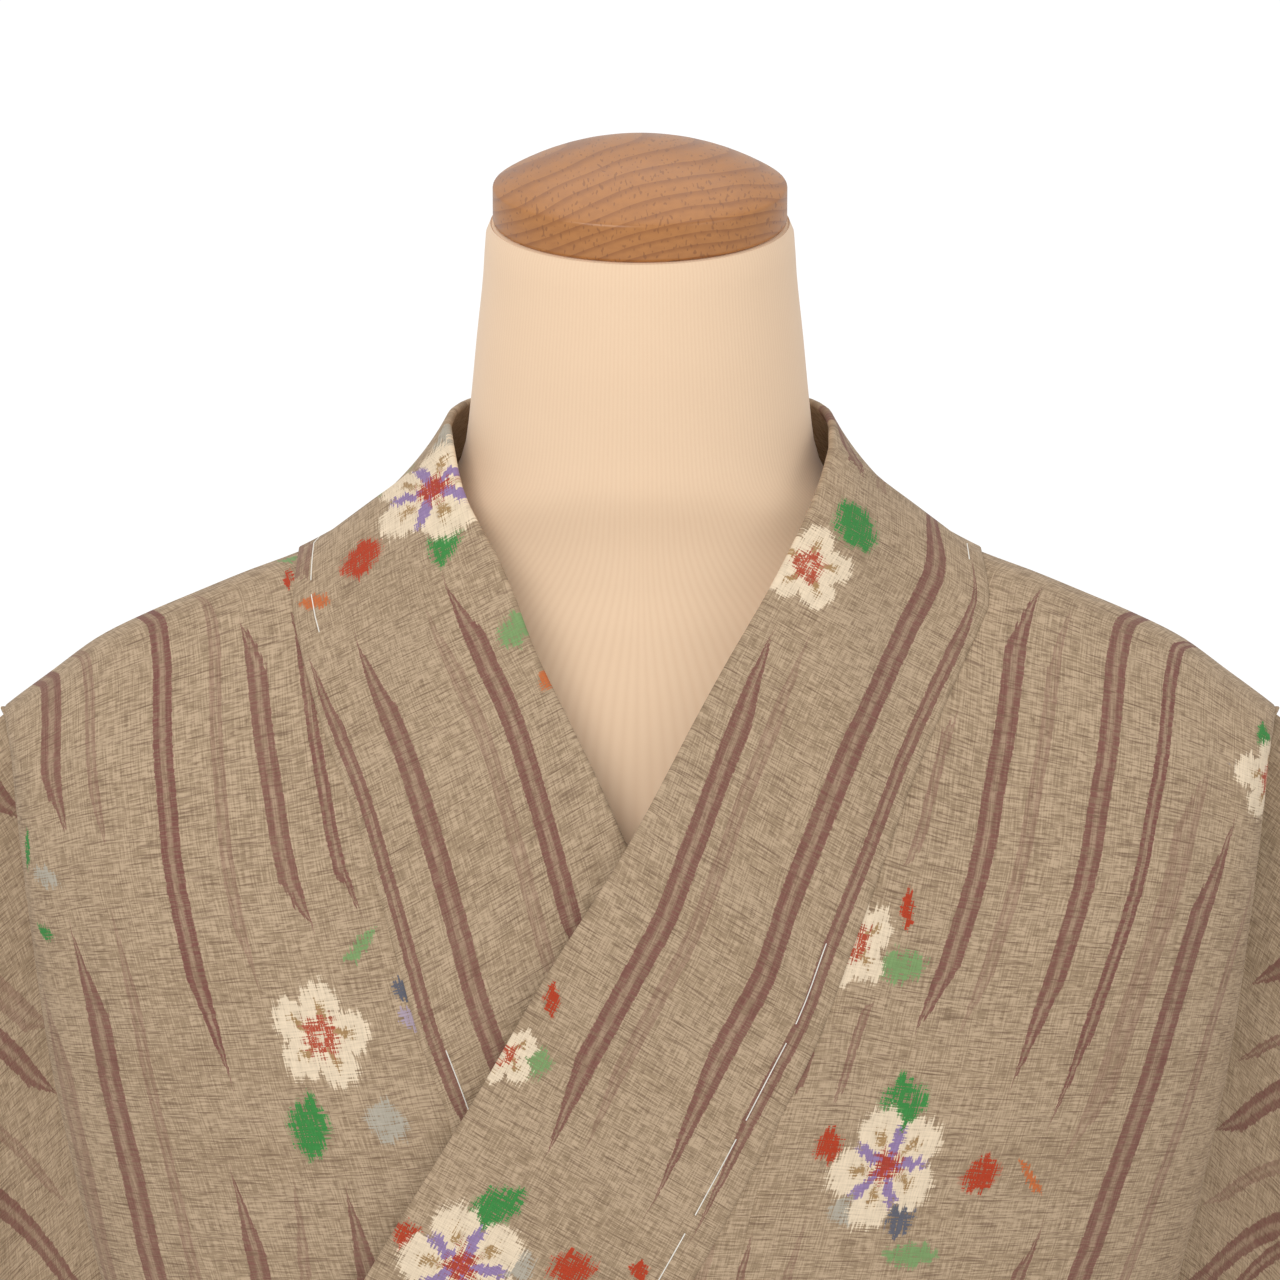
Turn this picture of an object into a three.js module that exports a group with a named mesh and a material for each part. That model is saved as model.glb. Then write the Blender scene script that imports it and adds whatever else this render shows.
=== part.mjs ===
// A woman's kimono in striped pongee, closed left front over right, on a limbless dress form with a stand.
// Millimetres, +Z up, the front faces -Y, and the origin lies on the floor under the middle of the stand.
// Left and right are the wearer's own: the left half of the garment is at +X.
import * as THREE from "three";

// Driving dimensions.
const NECK_POINT = 1545; // height of the side of the neck, where every drop below is counted from
const HEM_DROP = 1517; // neck point to hem
const BODY_WALL = 1.5; // cloth of the body and the overlap panels
const SLEEVE_WALL = 1.2;
const COLLAR_WALL = 3.2; // folded collar with its core
const SEAM_GAP = 0.5; // between two pieces that are sewn together
const LAP_LIFT = 7.2; // how far the left front stands over the right front
const CENTRE_Y = 5; // depth of the shoulder line
const SLEEVE_WIDTH = 330; // armhole to wrist
const SLEEVE_DROP = 490; // top fold to lower edge
const ARMHOLE = 230; // how much of the sleeve's inner edge is sewn to the body
const CUFF_OPENING = 230;
const CORNER_ROUND = 24; // rounded lower corner of the sleeve

// Shoulder line of the cloth, seen from the front: distance from the middle, and drop.
const SHOULDER = [
  { x: 0, z: 10 },
  { x: 40, z: 8 },
  { x: 65, z: 0 },
  { x: 79, z: -9 },
  { x: 86, z: -18 },
  { x: 94, z: -28.5 },
  { x: 103, z: -38 },
  { x: 114, z: -47 },
  { x: 125, z: -55 },
  { x: 133, z: -60 },
  { x: 142, z: -63.5 },
  { x: 153, z: -67.5 },
  { x: 175, z: -76.5 },
  { x: 195, z: -85 },
  { x: 213, z: -94 },
  { x: 231, z: -107 },
  { x: 251, z: -122 },
  { x: 280, z: -148 },
];

// Level sections of the body. edge is its widest point, and edgeDepth how far that lies off the shoulder line's depth;
// seam and seamDepth give the armhole seam, tucked in behind the edge; square rounds or squares the section.
const SECTIONS = [
  { z: -60, edge: 251, edgeDepth: 0.2, seam: 252, seamDepth: 0.1, front: 114, back: 110, square: 2.5 },
  { z: -121, edge: 250, edgeDepth: 0.5, seam: 252, seamDepth: 0.3, front: 123, back: 116, square: 2.5 },
  { z: -124, edge: 249, edgeDepth: 8, seam: 250, seamDepth: 6.5, front: 123, back: 116, square: 2.5 },
  { z: -129, edge: 248, edgeDepth: 13, seam: 247, seamDepth: 10, front: 124, back: 117, square: 2.5 },
  { z: -137, edge: 246, edgeDepth: 19, seam: 242, seamDepth: 13, front: 125, back: 118, square: 2.5 },
  { z: -160, edge: 243, edgeDepth: 27, seam: 229, seamDepth: 17, front: 127, back: 119, square: 2.5 },
  { z: -200, edge: 238, edgeDepth: 32, seam: 213, seamDepth: 19, front: 128, back: 118, square: 2.5 },
  { z: -250, edge: 231, edgeDepth: 34, seam: 204, seamDepth: 20, front: 126, back: 114, square: 2.5 },
  { z: -300, edge: 221, edgeDepth: 34, seam: 194, seamDepth: 20, front: 122, back: 109, square: 2.45 },
  { z: -350, edge: 209, edgeDepth: 31, seam: 184, seamDepth: 20, front: 118, back: 104, square: 2.4 },
  { z: -400, edge: 196, edgeDepth: 22, seam: 184, seamDepth: 14, front: 114, back: 102, square: 2.3 },
  { z: -450, edge: 187, edgeDepth: 10, seam: 183, seamDepth: 8, front: 112, back: 102, square: 2.2 },
  { z: -500, edge: 182, edgeDepth: 6, seam: 180, seamDepth: 5, front: 111, back: 105, square: 2.15 },
  { z: -600, edge: 181, edgeDepth: 4, seam: 179, seamDepth: 3.5, front: 113, back: 114, square: 2.1 },
  { z: -760, edge: 180, edgeDepth: 0, seam: 179, seamDepth: 0, front: 114, back: 117, square: 2.1 },
  { z: -1100, edge: 176, edgeDepth: 0, seam: 175, seamDepth: 0, front: 112, back: 113, square: 2.1 },
  { z: -1517, edge: 171, edgeDepth: 0, seam: 170, seamDepth: 0, front: 109, back: 108, square: 2.1 },
];

// Seam between the collar and the body, then the overlap panel, of the left half: distance from the middle.
const COLLAR_SEAM_LEFT = [
  { z: -58, x: 133 },
  { z: -76, x: 135 },
  { z: -92, x: 127 },
  { z: -115, x: 115 },
  { z: -140, x: 103 },
  { z: -168, x: 92 },
  { z: -197, x: 81 },
  { z: -229, x: 69 },
  { z: -260, x: 54 },
  { z: -301, x: 33 },
  { z: -347, x: 8 },
  { z: -400, x: -20 },
  { z: -450, x: -43 },
  { z: -500, x: -64 },
  { z: -600, x: -100 },
  { z: -740, x: -132 },
];
// The same seam of the right half, with its distance counted to the wearer's left as well.
const COLLAR_SEAM_RIGHT = [
  { z: -58, x: -133 },
  { z: -76, x: -134 },
  { z: -98, x: -129 },
  { z: -126, x: -119 },
  { z: -146, x: -110 },
  { z: -185, x: -97 },
  { z: -209, x: -90 },
  { z: -234, x: -83 },
  { z: -256, x: -75 },
  { z: -281, x: -66 },
  { z: -340, x: -43 },
  { z: -420, x: -13 },
  { z: -500, x: 19 },
  { z: -600, x: 58 },
  { z: -740, x: 104 },
];
// The collar's fold from the side of the neck to its lower end.
const COLLAR_FOLD_LEFT = [
  { z: -14, x: 76 },
  { z: -32, x: 70 },
  { z: -60, x: 56 },
  { z: -100, x: 32 },
  { z: -132, x: 14 },
  { z: -166, x: -5 },
  { z: -210, x: -33 },
  { z: -260, x: -62 },
  { z: -325, x: -101 },
  { z: -347, x: -113 },
  { z: -400, x: -137 },
  { z: -450, x: -151 },
  { z: -500, x: -161 },
  { z: -600, x: -171 },
  { z: -740, x: -177 },
];
const COLLAR_FOLD_RIGHT = [
  { z: -16, x: -74 },
  { z: -32, x: -70 },
  { z: -65, x: -52 },
  { z: -90, x: -42 },
  { z: -120, x: -27 },
  { z: -140, x: -17 },
  { z: -166, x: -5 },
  { z: -210, x: 18 },
  { z: -260, x: 41 },
  { z: -347, x: 80 },
  { z: -450, x: 109 },
  { z: -550, x: 128 },
  { z: -740, x: 152 },
];
// The overlap panels' own front edges, from the collar's lower end to the hem.
const OVERLAP_EDGE_LEFT = [
  { z: -740, x: -132 },
  { z: -1100, x: -130 },
  { z: -1517, x: -126 },
];
const OVERLAP_EDGE_RIGHT = [
  { z: -740, x: 104 },
  { z: -1100, x: 104 },
  { z: -1517, x: 100 },
];
// Seam between each front and its overlap panel, from the point where that panel begins.
const OVERLAP_SEAM_LEFT = [
  { z: -260, x: 54 },
  { z: -301, x: 42 },
  { z: -347, x: 32 },
  { z: -450, x: 12 },
  { z: -550, x: 0 },
  { z: -700, x: -6 },
  { z: -900, x: -8 },
  { z: -1517, x: -8 },
];
const OVERLAP_SEAM_RIGHT = [
  { z: -260, x: -73.6 },
  { z: -300, x: -66 },
  { z: -347, x: -57 },
  { z: -450, x: -44 },
  { z: -600, x: -30 },
  { z: -900, x: -18 },
  { z: -1517, x: -14 },
];
// Collar from the shoulder line round the back to the middle: its fold, its seam with the back, and how far it rounds
// outward between them. Over the shoulder it sags inward instead.
const COLLAR_BACK = [
  { foldX: 75.5, foldY: -4, foldZ: -10, seamX: 133, seamZ: -60, bulge: -7 },
  { foldX: 74, foldY: 22, foldZ: -6, seamX: 131, seamZ: -63, bulge: -6.5 },
  { foldX: 67, foldY: 50, foldZ: -3, seamX: 118, seamZ: -66, bulge: -4 },
  { foldX: 52, foldY: 74, foldZ: -1, seamX: 88, seamZ: -69, bulge: 0 },
  { foldX: 28, foldY: 90, foldZ: -2, seamX: 46, seamZ: -71, bulge: 3 },
  { foldX: 0, foldY: 95, foldZ: -3, seamX: 0, seamZ: -72, bulge: 3 },
];
const COLLAR_END = -740; // drop of the collar's lower end

// Dress form: neck, shoulders and trunk, as level sections round their own middle. lean tips a section forward.
const FORM = [
  { z: 70, y: -6, half: 58.5, front: 58.5, back: 58.5, square: 2, lean: 15 },
  { z: 66, y: -5.5, half: 60.2, front: 60, back: 60, square: 2, lean: 14.8 },
  { z: 50, y: -4, half: 61.3, front: 60, back: 60, square: 2, lean: 13 },
  { z: 25, y: -1, half: 64, front: 60, back: 61, square: 2, lean: 10 },
  { z: 0, y: 3, half: 66.5, front: 60, back: 62, square: 2, lean: 6 },
  { z: -16, y: 5, half: 68.5, front: 60, back: 64, square: 2, lean: 4 },
  { z: -30, y: 6, half: 74, front: 60.5, back: 67, square: 1.95, lean: 2 },
  { z: -44, y: 6, half: 93, front: 58, back: 68, square: 1.8, lean: 0 },
  { z: -58, y: 6, half: 121, front: 56, back: 72, square: 1.65, lean: 0 },
  { z: -70, y: 5, half: 155, front: 56, back: 76, square: 1.6, lean: 0 },
  { z: -82, y: 5, half: 183, front: 60, back: 80, square: 1.65, lean: 0 },
  { z: -95, y: 5, half: 197, front: 65, back: 85, square: 1.75, lean: 0 },
  { z: -112, y: 5, half: 203, front: 74, back: 90, square: 1.9, lean: 0 },
  { z: -134, y: 5, half: 200, front: 85, back: 95, square: 2.05, lean: 0 },
  { z: -165, y: 5, half: 191, front: 98, back: 99, square: 2.2, lean: 0 },
  { z: -205, y: 5, half: 177, front: 108, back: 99, square: 2.2, lean: 0 },
  { z: -250, y: 5, half: 163, front: 109, back: 95, square: 2.2, lean: 0 },
  { z: -310, y: 4, half: 152, front: 100, back: 88, square: 2.1, lean: 0 },
  { z: -370, y: 3, half: 136, front: 88, back: 82, square: 2, lean: 0 },
  { z: -420, y: 2, half: 128, front: 82, back: 81, square: 2, lean: 0 },
  { z: -480, y: 3, half: 139, front: 87, back: 89, square: 2, lean: 0 },
  { z: -560, y: 4, half: 160, front: 95, back: 103, square: 2, lean: 0 },
  { z: -630, y: 4, half: 167, front: 97, back: 108, square: 2, lean: 0 },
  { z: -690, y: 4, half: 165, front: 95, back: 106, square: 2, lean: 0 },
  { z: -712, y: 4, half: 158, front: 90, back: 100, square: 2, lean: 0 },
];
const FORM_FLOOR = -716; // flat underside of the trunk
const FORM_SIDES = 32;
const CAP_RADIUS = 57.5;
const CAP_RIM = 15;
const CAP_DOME = 17;
const CAP_EDGE = 3; // rounding between the rim and the dome
const POLE_RADIUS = 15;
const BASE_RADIUS = 165;
const BASE_HEIGHT = 18;

const { PI, abs, asin, cos, exp, hypot, max, min, sign, sin, sqrt } = Math;
const clamp01 = (t) => min(1, max(0, t));
const mix = (a, b, t) => a + (b - a) * t;
const smooth = (from, to, t) => {
  const s = clamp01((t - from) / (to - from));
  return s * s * (3 - 2 * s);
};
const softMin = (a, b) => (a <= 0 || b <= 0 ? 0 : (a ** -4 + b ** -4) ** -0.25);

// A smooth function through a table's rows that never swings past them.
function through(rows, key, column) {
  const sorted = [...rows].sort((p, q) => p[key] - q[key]);
  const k = sorted.map((r) => r[key]);
  const v = sorted.map((r) => r[column]);
  const rise = k.slice(1).map((_, i) => (v[i + 1] - v[i]) / (k[i + 1] - k[i]));
  const slope = v.map((_, i) => {
    if (i === 0) return rise[0];
    if (i === v.length - 1) return rise[i - 1];
    const [before, after] = [rise[i - 1], rise[i]];
    return before * after <= 0 ? 0 : (2 * before * after) / (before + after);
  });
  return (at) => {
    if (at <= k[0]) return v[0];
    if (at >= k[k.length - 1]) return v[v.length - 1];
    let i = 0;
    while (k[i + 1] < at) i++;
    const span = k[i + 1] - k[i];
    const t = (at - k[i]) / span;
    const keep = (1 + 2 * t) * (1 - t) * (1 - t) * v[i] + t * t * (3 - 2 * t) * v[i + 1];
    return keep + t * (1 - t) * span * ((1 - t) * slope[i] - t * slope[i + 1]);
  };
}

const shoulderAt = through(SHOULDER, "x", "z");
const section = {};
for (const column of ["edge", "edgeDepth", "seam", "seamDepth", "front", "back", "square"])
  section[column] = through(SECTIONS, "z", column);
const collarSeam = { left: through(COLLAR_SEAM_LEFT, "z", "x"), right: through(COLLAR_SEAM_RIGHT, "z", "x") };
const collarFold = { left: through(COLLAR_FOLD_LEFT, "z", "x"), right: through(COLLAR_FOLD_RIGHT, "z", "x") };
const overlapEdge = { left: through(OVERLAP_EDGE_LEFT, "z", "x"), right: through(OVERLAP_EDGE_RIGHT, "z", "x") };
const overlapSeam = {
  left: through(OVERLAP_SEAM_LEFT, "z", "x"),
  right: through(OVERLAP_SEAM_RIGHT, "z", "x"),
};

// Depth of the cloth off the shoulder line's depth. Just under that line it turns over the shoulder in an arch.
const ARCH = { front: { radius: 30, slope: 0.62 }, back: { radius: 46, slope: 0.8 } };
function archDepth(side, below) {
  const { radius, slope } = ARCH[side];
  return below <= 0 ? 0 : sqrt(2 * radius * below + (slope * below) ** 2);
}
function depthAt(side, x, z) {
  const across = clamp01(1 - (abs(x) / section.edge(z)) ** section.square(z));
  const edge = section.edgeDepth(z);
  const full = edge + (section[side](z) - edge) * sqrt(across);
  return softMin(archDepth(side, shoulderAt(abs(x)) - z), full);
}

// Long soft folds that the skirt falls in. They are outward, fade out above the hips, and miss the front.
const SKIRT_FOLDS = [
  { turn: 104, width: 13, out: 7 },
  { turn: 136, width: 11, out: 5 },
  { turn: 163, width: 12, out: 6 },
  { turn: 200, width: 13, out: 6.5 },
  { turn: 232, width: 11, out: 5.5 },
  { turn: 258, width: 12, out: 7 },
];
function skirtFold(turn, z) {
  const full = 1 - smooth(-1350, -620, z);
  let out = 0;
  for (const fold of SKIRT_FOLDS) {
    const off = (((turn - fold.turn + 540) % 360) - 180) / fold.width;
    out += fold.out * exp(-off * off);
  }
  return out * full;
}

// The left front lies over the right front wherever that reaches, and stands off it there.
const LAP_REACH = 22; // the left front is still fully raised this far past the right collar's fold
const LAP_FALL = 30; // and comes down to its own place over this width
function lapLift(x, z) {
  return LAP_LIFT * smooth(0, 1, (collarFold.right(z) + LAP_REACH + LAP_FALL - x) / LAP_FALL);
}

// A point of the front's surface for a place seen from the front.
function frontPoint(half, x, z) {
  const lift = half === "left" ? lapLift(x, z) : 0;
  return new THREE.Vector3(x, CENTRE_Y - depthAt("front", x, z) - lift, min(z, shoulderAt(abs(x))) + NECK_POINT);
}
function backPoint(x, z) {
  return new THREE.Vector3(x, CENTRE_Y + depthAt("back", x, z), z + NECK_POINT);
}

// Height of a row of the cloth: it follows the shoulder line at the top and is level further down.
const ROW_LEVEL = -85;
const ROW_FADE = 90;
const rowHeight = (x, below) => ROW_LEVEL - below + (shoulderAt(abs(x)) - ROW_LEVEL) * exp(-below / ROW_FADE);

// Where a row meets a seam whose distance from the middle depends on its height.
function meet(seamAt, below, low = -200, high = 200) {
  for (let i = 0; i < 40; i++) {
    const x = (low + high) / 2;
    if (seamAt(rowHeight(x, below)) > x) low = x;
    else high = x;
  }
  return (low + high) / 2;
}

const MAIN_SHARE = 0.75; // share of a panel's columns between its inner seam and its widest point
const SIDE_SEAM = { front: 68.88, back: 69.12 }; // turn of the side seam round the skirt, from the middle of the front
const CENTRE_BACK = 179.84; // turn of the seam down the middle of the back
const radians = (degrees) => (degrees * PI) / 180;

// A point round the level section at a height, by its turn from the middle of the front towards +X.
function aroundPoint(half, turn, z) {
  const square = section.square(z);
  const [s, c] = [sin(radians(turn)), cos(radians(turn))];
  const flat = section.edge(z) * sign(s) * abs(s) ** (2 / square);
  const lift = half === "left" ? lapLift(flat, z) * smooth(0, 0.35, c) : 0;
  const out = 1 + (skirtFold((turn + 360) % 360, z) + lift) / 145;
  const deep = (c > 0 ? section.front(z) : section.back(z)) * abs(c);
  return new THREE.Vector3(flat * out, CENTRE_Y - sign(c) * deep * out, z + NECK_POINT);
}
// The same for a place on the front given by its distance from the middle; high up it is a plain front point.
function lowerFront(half, x, turn, z) {
  const low = 1 - smooth(-590, -440, z);
  const upper = frontPoint(half, x, z);
  return low === 0 ? upper : upper.lerp(aroundPoint(half, turn, z), low);
}

// The tucked strip between the panel's widest point and its armhole seam.
function tuckPoint(side, toward, t, below) {
  const z = rowHeight(section.edge(ROW_LEVEL - below), below);
  const arch = archDepth(side, shoulderAt(section.edge(z)) - z);
  const [edge, seam] = [section.edge(z), section.seam(z)];
  const edgeDepth = softMin(arch, section.edgeDepth(z));
  const seamDepth = softMin(arch, section.seamDepth(z));
  const bend = { x: mix(edge, seam, 0.5), depth: mix(seamDepth, edgeDepth, 0.45) };
  const u = 1 - t;
  const x = u ** 3 * edge + 3 * u * u * t * edge + 3 * u * t * t * bend.x + t ** 3 * seam;
  const depth =
    u ** 3 * edgeDepth + 3 * u * u * t * bend.depth + 3 * u * t * t * seamDepth + t ** 3 * seamDepth;
  return new THREE.Vector3(toward * x, CENTRE_Y + (side === "front" ? -depth : depth), z + NECK_POINT);
}

// A point of a body panel: a runs from the inner seam to the armhole or side seam.
function panelPoint(half, side, a, below) {
  const toward = half === "left" ? 1 : -1;
  const level = ROW_LEVEL - below;
  const inner = side === "front" ? frontInner(half, below) : backInner(half, below);
  const upper = upperPanelPoint(half, side, a, below, inner, toward);
  const low = 1 - smooth(-590, -440, level);
  if (low === 0) return upper;
  const innerTurn = side === "front" ? turnOf(inner, level) : CENTRE_BACK * toward;
  const turn = mix(innerTurn, SIDE_SEAM[side] * toward, a);
  return upper.lerp(aroundPoint(half, turn, level), low);
}
function upperPanelPoint(half, side, a, below, inner, toward) {
  if (a > MAIN_SHARE) return tuckPoint(side, toward, (a - MAIN_SHARE) / (1 - MAIN_SHARE), below);
  const edge = section.edge(rowHeight(section.edge(ROW_LEVEL - below), below));
  const square = section.square(ROW_LEVEL - below);
  const from = asin(clamp01(abs(inner) / edge) ** (square / 2)) * sign(inner) * toward;
  const turn = mix(from, PI / 2, a / MAIN_SHARE);
  const x = toward * edge * sign(turn) * abs(sin(turn)) ** (2 / square);
  const z = rowHeight(x, below);
  return side === "front" ? frontPoint(half, x, z) : backPoint(x, z);
}
// Turn from the middle of the front of a place on it, in degrees.
const turnOf = (x, z) =>
  (sign(x) * asin(clamp01(abs(x) / section.edge(z)) ** (section.square(z) / 2)) * 180) / PI;

// The front panel's inner seam: the collar's down to the overlap panel's tip, then that panel's.
const TIP_ROW = 186;
const towardSide = (half, by) => (half === "left" ? by : -by);
const seamBeside = (half, below) => (below < TIP_ROW ? collarSeam[half] : overlapSeam[half]);
const frontInner = (half, below) => meet((z) => seamBeside(half, below)(z) + towardSide(half, SEAM_GAP), below);
// The back panel's: round the collar, then the middle of the back.
const backNeck = through(COLLAR_BACK, "seamZ", "seamX");
function backInner(half, below) {
  const x = below >= NECK_ROW ? 0 : meet((z) => backNeck(max(-72, min(z, -60))), below, 0, 140);
  return towardSide(half, x + SEAM_GAP);
}

// A closed wall round a grid of points of its middle surface. Rows and columns may each close on themselves.
function wall(rows, thickness, { closed = false } = {}) {
  const [n, m] = [rows.length, rows[0].length];
  const at = (i, j) => rows[min(n - 1, max(0, i))][closed ? (j + m) % m : min(m - 1, max(0, j))];
  const outer = [];
  const inner = [];
  for (let i = 0; i < n; i++)
    for (let j = 0; j < m; j++) {
      const along = at(i + 1, j).clone().sub(at(i - 1, j));
      const across = at(i, j + 1).clone().sub(at(i, j - 1));
      const normal = along.cross(across).normalize();
      const half = typeof thickness === "function" ? thickness(i, j) / 2 : thickness / 2;
      outer.push(rows[i][j].clone().addScaledVector(normal, half));
      inner.push(rows[i][j].clone().addScaledVector(normal, -half));
    }
  const id = (i, j) => i * m + (closed ? (j + m) % m : j);
  const back = n * m;
  const faces = [];
  const quad = (a, b, c, d) => faces.push(a, b, c, a, c, d);
  const spans = closed ? m : m - 1;
  for (let i = 0; i < n - 1; i++)
    for (let j = 0; j < spans; j++) {
      quad(id(i, j), id(i + 1, j), id(i + 1, j + 1), id(i, j + 1));
      quad(back + id(i, j), back + id(i, j + 1), back + id(i + 1, j + 1), back + id(i + 1, j));
    }
  for (let j = 0; j < spans; j++) {
    quad(id(0, j), id(0, j + 1), back + id(0, j + 1), back + id(0, j));
    quad(id(n - 1, j + 1), id(n - 1, j), back + id(n - 1, j), back + id(n - 1, j + 1));
  }
  if (!closed)
    for (let i = 0; i < n - 1; i++) {
      quad(id(i + 1, 0), id(i, 0), back + id(i, 0), back + id(i + 1, 0));
      quad(id(i, m - 1), id(i + 1, m - 1), back + id(i + 1, m - 1), back + id(i, m - 1));
    }
  return geometryOf([...outer, ...inner], faces);
}

// A geometry from points and faces, turned so that its faces point out.
function geometryOf(points, faces) {
  let volume = 0;
  for (let k = 0; k < faces.length; k += 3) {
    const [a, b, c] = [points[faces[k]], points[faces[k + 1]], points[faces[k + 2]]];
    volume += a.dot(b.clone().cross(c)) / 6;
  }
  if (volume < 0)
    for (let k = 0; k < faces.length; k += 3) [faces[k + 1], faces[k + 2]] = [faces[k + 2], faces[k + 1]];
  const geometry = new THREE.BufferGeometry().setFromPoints(points);
  geometry.setIndex(faces);
  geometry.computeVertexNormals();
  return geometry;
}

const steps = (count, from = 0, to = 1) => Array.from({ length: count + 1 }, (_, i) => mix(from, to, i / count));

// Rows below the shoulder line: close together over the shoulder, wide apart down the skirt.
const NECK_ROW = 44.5; // the row that meets the middle of the collar's seam at the back
const UPPER_ROWS = [1.6, 6, 13, 22, 33, NECK_ROW, 62, 84, 108, 133, 159, TIP_ROW, 214, 242, 272, 303, 336, 370, 408, 452];
const SKIRT_ROWS = [510, 580, -COLLAR_END + ROW_LEVEL, 760, 870, 990, 1110, 1230, 1340, HEM_DROP + ROW_LEVEL];
const ROWS_BELOW = [...UPPER_ROWS, ...SKIRT_ROWS];
const COLUMNS = 12;

// One strip of cloth from the front hem over the shoulder to the back hem.
function bodyPanel(half) {
  const row = (side, below) => steps(COLUMNS).map((a) => panelPoint(half, side, a, below));
  const rows = [
    ...ROWS_BELOW.toReversed().map((below) => row("front", below)),
    row("front", 0),
    ...ROWS_BELOW.map((below) => row("back", below)),
  ];
  return wall(rows, BODY_WALL);
}

// The overlap panel: from its pointed top beside the collar to the hem, on the same rows as the front it is sewn to.
const OVERLAP_COLUMNS = 6;
function overlapPanel(half) {
  const rowAt = (z, free) => {
    const seam = overlapSeam[half](z) - towardSide(half, SEAM_GAP / 2);
    return steps(OVERLAP_COLUMNS).map((a) => {
      const turn = mix(turnOf(seam, z), turnOf(free, z), a);
      return lowerFront(half, mix(seam, free, a), turn, z);
    });
  };
  const free = (z) => (z >= COLLAR_END ? collarSeam[half](z) + towardSide(half, SEAM_GAP / 2) : overlapEdge[half](z));
  const rows = seamHeights(half, TIP_ROW).map((z) => rowAt(z, free(z)));
  const tip = rows[0][0].clone().lerp(rows[0][OVERLAP_COLUMNS], 0.5);
  rows[0] = rows[1].map((point) => tip.clone().lerp(point, 0.16));
  return wall(rows, BODY_WALL);
}
// Heights at which the rows of the cloth reach the front's inner seam.
function seamHeights(half, from = 0) {
  return ROWS_BELOW.filter((below) => below >= from).map((below) =>
    rowHeight(frontInner(half, below), below),
  );
}

// The fold lies square across from the seam, so it is higher up on the slant. At the lower end both are level.
const FOLD_RISE = [
  { z: -740, rise: 0 },
  { z: -600, rise: 8 },
  { z: -450, rise: 34 },
  { z: -347, rise: 50 },
  { z: -260, rise: 52 },
  { z: -200, rise: 48 },
  { z: -150, rise: 41 },
  { z: -100, rise: 38 },
  { z: -58, rise: 45 },
];
const foldRise = through(FOLD_RISE, "z", "rise");

// Points across the collar, from the seam to the fold, on the body's own rows all the way round the neck.
const ACROSS = [0, 0.25, 0.5, 0.75, 0.93, 1];
function collarFrontRow(half, seamZ) {
  const seamX = collarSeam[half](seamZ) - towardSide(half, SEAM_GAP / 2);
  const foldZ = seamZ + foldRise(seamZ);
  const foldX = collarFold[half](foldZ);
  const turn = { seam: turnOf(seamX, seamZ), fold: turnOf(foldX, foldZ) };
  return ACROSS.map((c) => lowerFront(half, mix(seamX, foldX, c), mix(turn.seam, turn.fold, c), mix(seamZ, foldZ, c)));
}
const foldBack = {};
for (const column of ["foldX", "foldY", "foldZ", "bulge"]) foldBack[column] = through(COLLAR_BACK, "seamX", column);
function collarBackRow(half, below) {
  const seamX = abs(backInner(half, below)) - SEAM_GAP;
  const seam = backPoint(seamX, rowHeight(seamX, below) + 1.5 * SEAM_GAP);
  const fold = new THREE.Vector3(foldBack.foldX(seamX), foldBack.foldY(seamX), foldBack.foldZ(seamX) + NECK_POINT);
  const out = new THREE.Vector3(seamX, fold.y + 20, 40).normalize();
  return ACROSS.map((c) => {
    const point = seam.clone().lerp(fold, c);
    point.addScaledVector(out, foldBack.bulge(seamX) * 4 * c * (1 - c));
    point.x *= towardSide(half, 1);
    return point;
  });
}
function collar() {
  const front = (half) => [
    collarFrontRow(half, COLLAR_END + SEAM_GAP),
    ...seamHeights(half)
      .filter((z) => z > COLLAR_END + 1)
      .toReversed()
      .map((z) => collarFrontRow(half, z)),
  ];
  const neckRows = [0, ...ROWS_BELOW.filter((below) => below <= NECK_ROW)];
  const back = (half) => neckRows.map((below) => collarBackRow(half, below));
  const rows = [
    ...front("left"),
    ...back("left"),
    ...back("right").toReversed().slice(1),
    ...front("right").toReversed(),
  ];
  return wall(rows, (i, j) => (j === ACROSS.length - 1 ? 0.4 * COLLAR_WALL : COLLAR_WALL));
}

// The sleeve hangs from the shoulder with no arm in it: its top fold slopes down and its cloth falls in soft folds.
const TOP_SLOPE = [
  { w: 0, slope: 38 },
  { w: 90, slope: 45 },
  { w: 200, slope: 54 },
  { w: 330, slope: 64 },
];
const topSlope = through(TOP_SLOPE, "w", "slope");
const SLEEVE_START = { x: 248.5, z: -123 };
// Lean of the cloth's own lines where they leave the top fold, in degrees below level, by their distance along it.
const FALL = [
  { w: 0, lean: 80 },
  { w: 60, lean: 56 },
  { w: 150, lean: 62 },
  { w: 330, lean: 76 },
];
const fallLean = through(FALL, "w", "lean");
const FALL_LENGTH = 230; // how far down a line has turned plumb
// Inner edge of the sleeve below the armhole, where it hangs free beside the body.
const INNER_EDGE = [
  { v: 0, x: 248.5, z: -123 },
  { v: 14, x: 241, z: -137 },
  { v: 38, x: 229, z: -158 },
  { v: 82, x: 213, z: -199 },
  { v: 132, x: 204, z: -249 },
  { v: 182, x: 194.5, z: -298 },
  { v: 232, x: 186, z: -347 },
  { v: 285, x: 192, z: -400 },
  { v: 340, x: 200, z: -455 },
  { v: 420, x: 204, z: -534 },
  { v: 490, x: 205, z: -604 },
];
const innerEdge = { x: through(INNER_EDGE, "v", "x"), z: through(INNER_EDGE, "v", "z") };
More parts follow.
